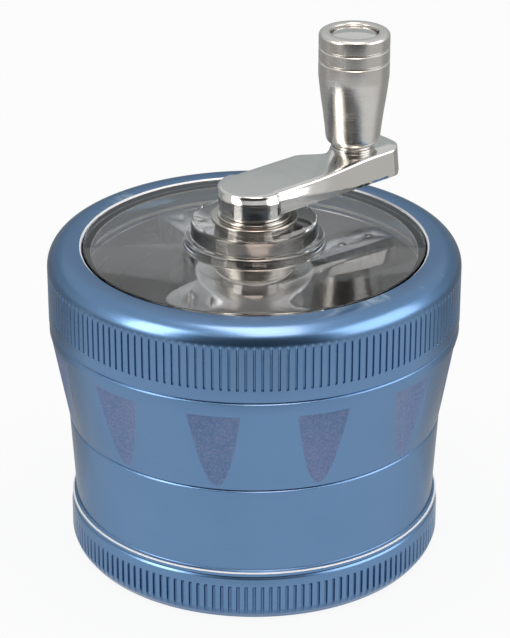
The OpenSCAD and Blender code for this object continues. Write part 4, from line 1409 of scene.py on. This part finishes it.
@dataclass
class Crank:
    """Polished crank arm, drive shaft and the rotor with its teeth below the window."""

    angle: float = 41.0
    length: float = 20.3
    foot: float = 55.65
    hub_parting: float = 58.05
    hub_top: float = 59.35
    pad: float = 60.25
    low_parting: float = 56.35
    end: float = 26.8
    waist: float = 2.45
    shaft_foot: float = 44.05
    shaft_r: float = 3.5
    shaft_collar: float = 54.85
    shaft_collar_r: float = 4.9
    square: float = 2.3
    rotor_angle: float = 33.0
    arms: int = 4
    arm_size: Spot = (0.0186, 0.0044, 0.0034)
    arm_centre: Spot = (0.01485, 0.0, 0.04215)
    post_r: float = 0.58

    def top_at(self, s: float, n: float) -> float:
        """Returns the height of the arm's top, which rises in a hollow ramp to the knob's pad.

        Args:
            s: Distance along the arm from the hub.
            n: Distance across the arm, positive on the far side.

        Returns:
            The height.
        """
        start, across = Vector((9.0, -3.1)), Vector((0.557, -0.831))
        past = max(0.0, (Vector((s, n)) - start).dot(across))
        beyond = min(max(s - self.length, 0.0), 5.5)
        away = max(0.0, math.hypot(s - self.length - beyond, n) - 3.5)
        rise = (past / (past + away)) ** 1.5 if past > 0 else 0.0
        level = beyond / 5.5
        rise = max(rise, level * level * (3 - 2 * level))
        return self.hub_top + (self.pad - self.hub_top) * rise

    def parting_at(self, s: float) -> float:
        """Returns the height of the casting's parting line at a distance along the arm."""
        drop = min(1.0, max(0.0, (s - 1.0) / 15.0))
        return self.hub_parting - (self.hub_parting - self.low_parting) * drop

    def lip_at(self, s: float) -> float:
        """Returns how far the parting line's lip wanders up or down."""
        return 0.03 * math.sin(2.3 * s) + 0.025 * math.sin(5.9 * s + 0.8)

    def waist_at(self, s: float) -> float:
        """Returns how far the waist beside the knob cuts in at a distance along the arm."""
        middle, start, end = self.length - 3.5, self.length - 7.7, self.length + 1.4
        share = (s - start) / (middle - start) if s < middle else (end - s) / (end - middle)
        share = min(1.0, max(0.0, share))
        return self.waist * (share + 0.045 * math.sin(math.tau * (share - 0.5)))

    def outline(self, hub: float, half: float, corner: float, cut: float,
                far: float) -> list[tuple[Point, Point]]:
        """Returns one level's plan as pairs of points across the arm.

        Args:
            hub: Radius of the hub on its near side at this level.
            half: Half width of the arm.
            corner: Radius of the end's corners.
            cut: Share of the waist that this level has.
            far: Radius of the hub on its far side.

        Returns:
            Pairs of points, on the far side and on the near side, from hub to end.
        """
        pairs: list[tuple[Point, Point]] = []
        turn = math.pi - math.asin(half / min(hub, far))
        middle = (hub + far) / 2
        for k in range(1, 25):
            a = math.pi - turn * k / 24
            share = min(1.0, turn * k / 24 / 0.8)
            share = share * share * (3 - 2 * share)
            near_r, far_r = middle + (hub - middle) * share, middle + (far - middle) * share
            near_n = min(near_r * math.sin(a), half) if a < math.pi / 2 else near_r * math.sin(a)
            far_n = min(far_r * math.sin(a), half) if a < math.pi / 2 else far_r * math.sin(a)
            pairs.append(((far_r * math.cos(a), far_n), (near_r * math.cos(a), -near_n)))
        start = pairs[-1][0][0]
        low = pairs[-1][1][0]
        straight = self.end - corner
        for k in range(1, 64):
            s, low_s = (x + (straight - x) * k / 64 for x in (start, low))
            pairs.append(((s, half - cut * self.waist_at(s)), (low_s, -half)))
        for k in range(0, 15):
            a = math.pi / 2 * (1 - k / 14)
            n = half - corner + corner * math.sin(a)
            pairs.append(((straight + corner * math.cos(a), n), (straight + corner * math.cos(a), -n)))
        flat = half - corner
        for k in range(1, 6):
            n = flat * (1 - k / 6)
            s = self.end + 0.16 * (1 - (n / flat) ** 2)
            pairs.append(((s, n), (s, -n)))
        return pairs

    def arm_mesh(self) -> bpy.types.Mesh:
        """Returns the arm as a loft of plans between its foot and its top."""
        levels: list[tuple[list[tuple[Point, Point]], Callable[[float, float], float]]] = []

        def add(hub: float, half: float, corner: float, cut: float, far: float,
                height: Callable[[float, float], float]) -> None:
            """Adds a level of the loft."""
            levels.append((self.outline(hub, half, corner, cut, far), height))

        add(5.75, 5.0, 2.4, 0.75, 5.3, lambda s, n: self.foot)
        add(5.9, 5.15, 2.55, 0.8, 5.45, lambda s, n: self.foot + 0.1)
        add(5.93, 5.3, 2.7, 0.88, 5.55, lambda s, n: self.parting_at(s) - 0.12)
        add(5.93, 5.44, 2.84, 0.93, 5.62, lambda s, n: self.parting_at(s) - 0.05 + self.lip_at(s))
        add(5.93, 5.44, 2.84, 0.93, 5.62, lambda s, n: self.parting_at(s) + 0.02 + self.lip_at(s))
        add(5.9, 5.42, 2.82, 0.94, 5.6, lambda s, n: self.parting_at(s) + 0.12)
        for part in (0.2, 0.4, 0.6, 0.8):
            add(5.9 - 0.52 * part, 5.42 - 0.42 * part, 2.82, 0.94 + 0.05 * part, 5.6,
                lambda s, n, part=part: (self.parting_at(s) + 0.12) * (1 - part)
                + (self.top_at(s, n) - 0.4) * part)
        for step in range(5):
            a = math.pi / 2 * step / 4
            out, down = 0.35 * (1 - math.cos(a)), 0.4 * (1 - math.sin(a))
            add(5.38 - out, 5.0 - out, 2.82 - out, 0.99 + 0.0025 * step, 5.6 - out,
                lambda s, n, down=down: self.top_at(s, n) - down)
        count = len(levels[0][0])
        across = 14
        verts: list[Spot] = []
        loops: list[list[int]] = []
        for pairs, height in levels:
            back = pairs[0][0][0] - 0.02
            loop = [self.vertex(verts, back, 0.0, height(back, 0.0))]
            loop += [self.vertex(verts, s, n, height(s, n)) for (s, n), _ in pairs]
            end = pairs[-1][0][0] + 0.004
            loop.append(self.vertex(verts, end, 0.0, height(end, 0.0)))
            loop += [self.vertex(verts, s, n, height(s, n)) for _, (s, n) in reversed(pairs)]
            loops.append(loop)
        size = len(loops[0])
        faces = [[low[i], low[(i + 1) % size], high[(i + 1) % size], high[i]]
                 for low, high in zip(loops, loops[1:]) for i in range(size)]
        for index, loop in ((0, loops[0]), (len(loops) - 1, loops[-1])):
            pairs, height = levels[index]
            rows = [[loop[0]]]
            for j in range(count):
                (s, far), (_, near) = pairs[j]
                steps = [far + (near - far) * m / across for m in range(1, across)]
                middle = [self.vertex(verts, s, n, height(s, n)) for n in steps]
                rows.append([loop[1 + j], *middle, loop[size - 1 - j]])
            rows.append([loop[count + 1]])
            for a, b in zip(rows, rows[1:]):
                if len(a) == 1 or len(b) == 1:
                    tip, row = (a[0], b) if len(a) == 1 else (b[0], a)
                    faces += [[tip, row[m], row[m + 1]] for m in range(across)]
                else:
                    faces += [[a[m], a[m + 1], b[m + 1], b[m]] for m in range(across)]
        mesh = plain_mesh("polished_crank_arm", verts, faces)
        mesh.transform(Matrix.Rotation(math.radians(self.angle), 4, "Z"))
        return mesh

    def vertex(self, verts: list[Spot], s: float, n: float, z: float) -> int:
        """Adds a vertex of the arm and returns its index."""
        verts.append((s * MM, n * MM, z * MM))
        return len(verts) - 1

    def build_shaft(self, finishes: Finishes) -> None:
        """Builds the drive shaft with its collar and square ends."""
        shaft = lathe("shaft", rounded([
            (0.0, self.shaft_foot, 0), (self.shaft_r, self.shaft_foot, 0.1),
            (self.shaft_r, self.shaft_collar, 0.05), (self.shaft_collar_r, self.shaft_collar, 0.12),
            (self.shaft_collar_r, self.foot, 0.12), (0.0, self.foot, 0)]), 160)
        turn = Matrix.Rotation(math.radians(self.angle), 4, "Z")
        h = self.square
        square = [(h, -h), (h, h), (-h, h), (-h, -h)]
        lower = prism("square_end", square, 35.8, self.shaft_foot)
        upper = prism("square_end", square, self.foot, 58.1)
        lower.transform(turn)
        upper.transform(turn)
        piece = place("crank_drive_shaft", join_meshes("crank_drive_shaft", [shaft, lower, upper]))
        settle(piece, Body.CRANK, ["drive_shaft"], [finishes.steel])

    def build_rotor(self, trees: Trees, finishes: Finishes) -> None:
        """Builds the rotor's hub and arms, its teeth, screw and magnet."""
        hub = rounded([
            (3.35, 34.65, 0.05), (2.8, 34.65, 0), (2.8, 32.9, 0.05), (4.05, 32.9, 0.05), (4.05, 30.5, 0.05),
            (6.5, 30.5, 0.2), (6.5, 39.85, 0.25), (9.0, 39.85, 0.3), (9.0, 44.05, 0.35), (3.35, 44.05, 0.1)])
        rotor = place("rotor_hub_and_arms", lathe("rotor_hub_and_arms", hub, 256))
        run_tree(rotor, trees.rotor, {
            "Arms": self.arms, "First Arm": math.radians(self.rotor_angle), "Arm Size": self.arm_size,
            "Arm Centre": self.arm_centre, "Row Radius": ROW_RADIUS * MM, "Row Pitch": ROW_PITCH * MM,
            "Root Radius": 0.65 * MM, "Material": finishes.bare})
        bevel = rotor.modifiers.new("bevel", "BEVEL")
        bevel.width, bevel.segments, bevel.limit_method = 0.12 * MM, 2, "ANGLE"
        bevel.angle_limit = math.radians(50)
        bake(rotor)
        settle(rotor, Body.CRANK, ["rotor"], [finishes.bare])
        reaches = [ROW_RADIUS + ROW_PITCH * row for row in range(ROW_COUNT)]
        turns = [math.tau * k / 16 for k in range(16)]
        posts = [prism("root", [(r + self.post_r * math.cos(a), self.post_r * math.sin(a)) for a in turns],
                       40.3, 43.65, 0.08) for r in reaches]
        posts += [diamond_tooth(r, 26.7, 40.45) for r in reaches]
        teeth = place("rotor_diamond_teeth", join_meshes("rotor_diamond_teeth", posts))
        run_tree(teeth, trees.ring, {"Count": self.arms, "First Angle": math.radians(self.rotor_angle),
                                     "Material": finishes.steel})
        settle(teeth, Body.CRANK, ["rotor_teeth"], [finishes.steel])
        screw = rounded([
            (0.0, 33.9, 0), (1.25, 33.9, 0), (1.45, 32.9, 0.02), (2.75, 32.9, 0.3), (2.75, 34.6, 0.1),
            (1.5, 34.6, 0.05), (1.5, 41.8, 0.2), (0.0, 41.8, 0)])
        turned_piece("rotor_clamp_screw", screw, 96, Body.CRANK, "rotor_screw", finishes.steel)
        magnet = rounded([(0.0, 30.5, 0), (4.0, 30.5, 0.25), (4.0, 32.7, 0.15), (0.0, 32.7, 0)])
        turned_piece("rotor_disc_magnet", magnet, 96, Body.CRANK, "rotor_magnet",
                     finishes.magnet)

    def build(self, trees: Trees, finishes: Finishes) -> None:
        """Builds the crank's pieces above and below the window."""
        arm = place("polished_crank_arm", self.arm_mesh())
        settle(arm, Body.CRANK, ["crank_arm"], [finishes.nickel], 36.0)
        self.build_shaft(finishes)
        self.build_rotor(trees, finishes)


# -------------------------------------------------------------------------- knob


@dataclass
class Knob:
    """Brushed steel knob that turns on a pin with a domed head."""

    foot: float = 60.65
    top: float = 79.15
    head_r: float = 5.5
    groove: float = 0.25
    seat_r: float = 3.75
    seat: float = 77.95
    pin_r: float = 2.0
    pin_head_r: float = 3.55
    washer_r: float = 3.4
    washer: float = 60.25

    def grip_profile(self) -> list[Point]:
        """Returns the grip's closed profile with a smooth, slowly widening body."""
        z0, t, r = self.foot, self.top, self.head_r
        wall = [(3.42, z0 + 0.42), (3.78, z0 + 0.68), (4.08, z0 + 1.0), (4.24, z0 + 1.5), (4.32, z0 + 2.2),
                (4.4, z0 + 3.0), (4.52, z0 + 4.0), (4.65, z0 + 5.0), (4.78, z0 + 6.0), (4.93, z0 + 7.0),
                (5.08, z0 + 8.0), (5.21, z0 + 9.0), (5.33, z0 + 10.0), (5.43, z0 + 10.9), (r, t - 6.9)]
        grooves: list[Point] = []
        for level in (t - 4.5, t - 2.4):
            grooves += [(r, level - 0.24), (r - 0.04, level - 0.19), (r - self.groove, level - 0.03),
                        (r - self.groove, level + 0.03), (r - 0.04, level + 0.19), (r, level + 0.24)]
        crown = arc(r - 0.65, t - 0.65, 0.65, 0, 84, 9)
        seat = rounded([(r - 0.6, t, 0), (self.seat_r + 0.16, t, 0.12), (self.seat_r, t - 0.2, 0.08),
                        (self.seat_r, self.seat, 0.15), (self.pin_r + 0.05, self.seat, 0.1),
                        (self.pin_r + 0.05, z0, 0.1), (3.3, z0, 0.08), (3.42, z0 + 0.42, 0)])[1:-1]
        return wall + grooves + crown + seat

    def build(self, finishes: Finishes) -> None:
        """Builds the grip, its pin and its washer."""
        turned_piece("brushed_knob_grip", self.grip_profile(), 256, Body.KNOB, "knob_grip",
                     finishes.knob, KNOB_AXIS, 30.0)
        head = [(self.pin_head_r - 0.05, 78.0), (self.pin_head_r, 78.08), (self.pin_head_r, 78.42),
                (3.5, 78.56), (3.34, 78.68), (2.95, 78.8), (2.3, 78.92), (1.5, 79.03), (0.8, 79.085),
                (0.0, 79.1)]
        pin = [(0.0, 55.85), (self.pin_r - 0.2, 55.85), (self.pin_r, 56.05), (self.pin_r, 78.0), *head]
        turned_piece("knob_pivot_pin", pin, 192, Body.CRANK, "knob_pin", finishes.nickel,
                     KNOB_AXIS, 40.0)
        ring = ring_section(self.pin_r + 0.1, self.washer_r, self.washer, self.washer + 0.35, 0.05, 0.08)
        turned_piece("knob_spacer_washer", ring, 128, Body.CRANK, "knob_washer", finishes.steel,
                     KNOB_AXIS)


# ------------------------------------------------------------------------ studio


@dataclass
class Studio:
    """Pale floor, soft boxes, reflector cards and the camera."""

    floor_half: float = 3.0
    floor_colour: Colour = (0.86, 0.86, 0.86)
    floor_share: float = 0.9
    world_light: float = 0.6
    tent_r: float = 900.0
    tent_waist: float = 440.0
    tent_top: float = 700.0
    camera_place: Spot = (0.0, -0.3655, 0.2084)
    camera_tilt: float = 63.985
    lens: float = 146.8
    shift: Point = (0.0011, 0.0616)

    def seen(self, make: NodeMaker) -> bpy.types.NodeSocket:
        """Returns 1 for camera, glossy and transmission rays and 0 for others."""
        path = make.add("ShaderNodeLightPath")
        rays = make.math("ADD", path.outputs["Is Camera Ray"], path.outputs["Is Glossy Ray"])
        return make.math("ADD", rays, path.outputs["Is Transmission Ray"], clamp=True)

    def build_floor(self) -> None:
        """Builds the floor, white where it is seen and shaded where the object stands."""
        h = self.floor_half
        mesh = plain_mesh("floor", [(-h, -h, 0), (h, -h, 0), (h, h, 0), (-h, h, 0)], [(0, 1, 2, 3)])
        floor = place("floor", mesh)
        material, make = empty_material("pale floor")
        diffuse = make.add("ShaderNodeBsdfDiffuse", {"Color": self.floor_colour})
        glow = make.add("ShaderNodeEmission", {"Color": (1.0, 1.0, 1.0), "Strength": 1.0})
        share = make.math("MULTIPLY", self.seen(make), self.floor_share)
        blend = make.add("ShaderNodeMixShader", {0: share, 1: diffuse, 2: glow})
        make.add("ShaderNodeOutputMaterial", {"Surface": blend})
        mesh.materials.append(material)

    def build_world(self) -> None:
        """Sets a white world where it is seen and a softer one where it lights."""
        world = bpy.data.worlds.new("studio")
        world.use_nodes = True
        world.node_tree.nodes.clear()
        make = NodeMaker(world.node_tree)
        strength = make.ramp(self.seen(make), 0.0, 1.0, self.world_light, 1.0)
        background = make.add("ShaderNodeBackground", {"Color": (1.0, 1.0, 1.0), "Strength": strength})
        make.add("ShaderNodeOutputWorld", {"Surface": background})
        bpy.context.scene.world = world

    def show_in_reflections(self, obj: bpy.types.Object) -> None:
        """Hides a card from the camera, from shadows and from diffuse light."""
        obj.visible_camera = obj.visible_shadow = obj.visible_diffuse = False

    def glow(self, name: str, level: Colour, second: Colour, axis: int, low: float, high: float) -> Any:
        """Builds a glowing finish that changes from one level to another along an axis.

        Args:
            name: Name of the material.
            level: Colour at the low end.
            second: Colour at the high end.
            axis: 0 for X, 1 for Y and 2 for Z.
            low: Place of the low end, in metres.
            high: Place of the high end, in metres.

        Returns:
            The material.
        """
        material, make = empty_material(name)
        along = make.ramp(make.split(make.place())[axis], low, high)
        light = make.add("ShaderNodeEmission", {"Color": make.mix(along, level, second), "Strength": 1.0})
        make.add("ShaderNodeOutputMaterial", {"Surface": light})
        return material

    def card(self, name: str, points: Sequence[Spot], material: Any) -> None:
        """Builds a flat card that only reflections and glass see.

        Args:
            name: Name of the card.
            points: Its corners, in millimetres.
            material: Its glowing finish.
        """
        corners = [(x * MM, y * MM, z * MM) for x, y, z in points]
        mesh = plain_mesh(name, corners, [list(range(len(corners)))])
        mesh.materials.append(material)
        self.show_in_reflections(place(name, mesh))

    def lamp(self, name: str, size: Point, level: float, azimuth: float, elevation: float,
             distance: float, lights: bool = True, tint: Colour = (1.0, 1.0, 1.0)) -> None:
        """Builds a soft box that faces the object.

        Args:
            name: Name of the lamp.
            size: Its width and height, in metres.
            level: Brightness of its face, where 1 is white.
            azimuth: Its direction, from the front towards the right, in degrees.
            elevation: Its elevation, in degrees.
            distance: Its distance, in metres.
            lights: False if it is seen in reflections only.
            tint: Colour of its light.
        """
        data = bpy.data.lights.new(name, "AREA")
        data.color = tint
        data.shape, data.size, data.size_y = "RECTANGLE", size[0], size[1]
        data.energy = level * size[0] * size[1] * math.pi
        lamp = bpy.data.objects.new(name, data)
        a, e = math.radians(azimuth), math.radians(elevation)
        way = Vector((math.sin(a) * math.cos(e), -math.cos(a) * math.cos(e), math.sin(e)))
        lamp.location = way * distance + Vector((0, 0, 0.035))
        lamp.rotation_euler = way.to_track_quat("Z", "Y").to_euler()
        lamp.visible_diffuse = lights
        lamp.visible_glossy = not lights
        bpy.context.scene.collection.objects.link(lamp)

    def ring_wall(self, name: str, radii: Point, heights: Point, material: Any) -> None:
        """Builds a round wall or floor of the tent that only reflections and glass see."""
        piece = place(name, lathe(name, ring_section(*radii, *heights, 0.0), 96))
        piece.data.materials.append(material)
        self.show_in_reflections(piece)

    def wedge(self, near: float, far: float, left: float, right: float, height: float) -> list[Spot]:
        """Returns the corners of a floor card between two distances and two directions in degrees."""
        corners = ((near, left), (near, right), (far, right), (far, left))
        return [(r * math.tan(math.radians(a)), -r, height) for r, a in corners]

    def build_cards(self) -> None:
        """Builds the grey tent and the dark, grey and bright cards inside it."""
        low_wall = self.glow("low tent wall", (0.85, 0.84, 0.83), (0.50, 0.54, 0.55), 1, 0.0, 0.6)
        high_wall = self.glow("high tent wall", (0.80, 0.80, 0.80), (0.86, 0.87, 0.88), 1, -0.2, 0.5)
        ground = self.glow("tent floor", (0.42, 0.41, 0.395), (0.68, 0.67, 0.65), 0, -0.16, 0.16)
        dark = self.glow("dark front card", (0.10, 0.10, 0.10), (0.95, 0.95, 0.95), 1, -0.23, -0.115)
        black = self.glow("dark upright card", (0.05, 0.05, 0.05), (0.07, 0.07, 0.07), 2, 0.0, 0.4)
        bright = self.glow("bright floor strip", (0.88, 0.87, 0.85), (0.92, 0.91, 0.89), 1, -0.4, -0.1)
        grey = self.glow("grey back floor", (0.85, 0.85, 0.84), (0.42, 0.42, 0.415), 1, 0.01, 0.05)
        half, top = self.tent_r, self.tent_top
        self.ring_wall("tent_low_wall", (half, half + 10.0), (0.0, self.tent_waist), low_wall)
        self.ring_wall("tent_high_wall", (half, half + 10.0), (self.tent_waist, top), high_wall)
        self.ring_wall("tent_floor", (150.0, half - 1.0), (0.2, 0.3), ground)
        self.card("tent_roof", [(-half, -half, top), (half, -half, top), (half, half, top),
                                (-half, half, top)], high_wall)
        self.card("grey_back_floor", [(-600, 8, 0.5), (600, 8, 0.5), (600, 600, 0.5), (-600, 600, 0.5)], grey)
        self.card("dark_front_card", self.wedge(112, 420, -42, 40, 0.6), dark)
        self.card("bright_floor_strip", self.wedge(150, 420, -56, -42, 0.8), bright)
        self.card("dark_upright_card", [(-370, -420, 0.6), (350, -420, 0.6), (350, -420, 430),
                                        (-370, -420, 430)], black)

    def build_camera(self) -> None:
        """Builds the camera."""
        data = bpy.data.cameras.new("camera")
        data.lens, data.sensor_width, data.clip_start = self.lens, 36.0, 0.01
        data.shift_x, data.shift_y = self.shift
        camera = bpy.data.objects.new("camera", data)
        camera.location = self.camera_place
        camera.rotation_euler = (math.radians(self.camera_tilt), 0.0, 0.0)
        bpy.context.scene.collection.objects.link(camera)
        bpy.context.scene.camera = camera

    def build(self) -> None:
        """Builds the whole studio."""
        self.build_floor()
        self.build_world()
        self.build_cards()
        self.lamp("left_soft_box", (0.25, 0.46), level=5.5, azimuth=-59, elevation=28, distance=0.58,
                  lights=False, tint=(1.0, 0.95, 0.90))
        self.lamp("right_soft_box", (0.50, 0.42), level=2.6, azimuth=73, elevation=26, distance=0.58,
                  lights=False)
        self.lamp("overhead_soft_box", (0.26, 0.6), level=4.7, azimuth=13, elevation=76, distance=0.6,
                  lights=False, tint=(1.0, 0.82, 0.74))
        self.lamp("top_soft_box", (0.7, 0.6), level=1.3, azimuth=0, elevation=86, distance=0.68)
        self.build_camera()
        bpy.context.scene.view_settings.view_transform = "Standard"


def main() -> None:
    """Builds every sub-assembly and the studio."""
    logging.basicConfig(level=logging.INFO, format="%(name)s: %(message)s")
    trees, finishes = Trees(), Finishes()
    BaseSection().build(trees, finishes)
    StorageSection().build(trees, finishes)
    GrindingSection().build(trees, finishes)
    Lid().build(trees, finishes)
    Crank().build(trees, finishes)
    Knob().build(finishes)
    Studio().build()


if __name__ == "__main__":
    main()
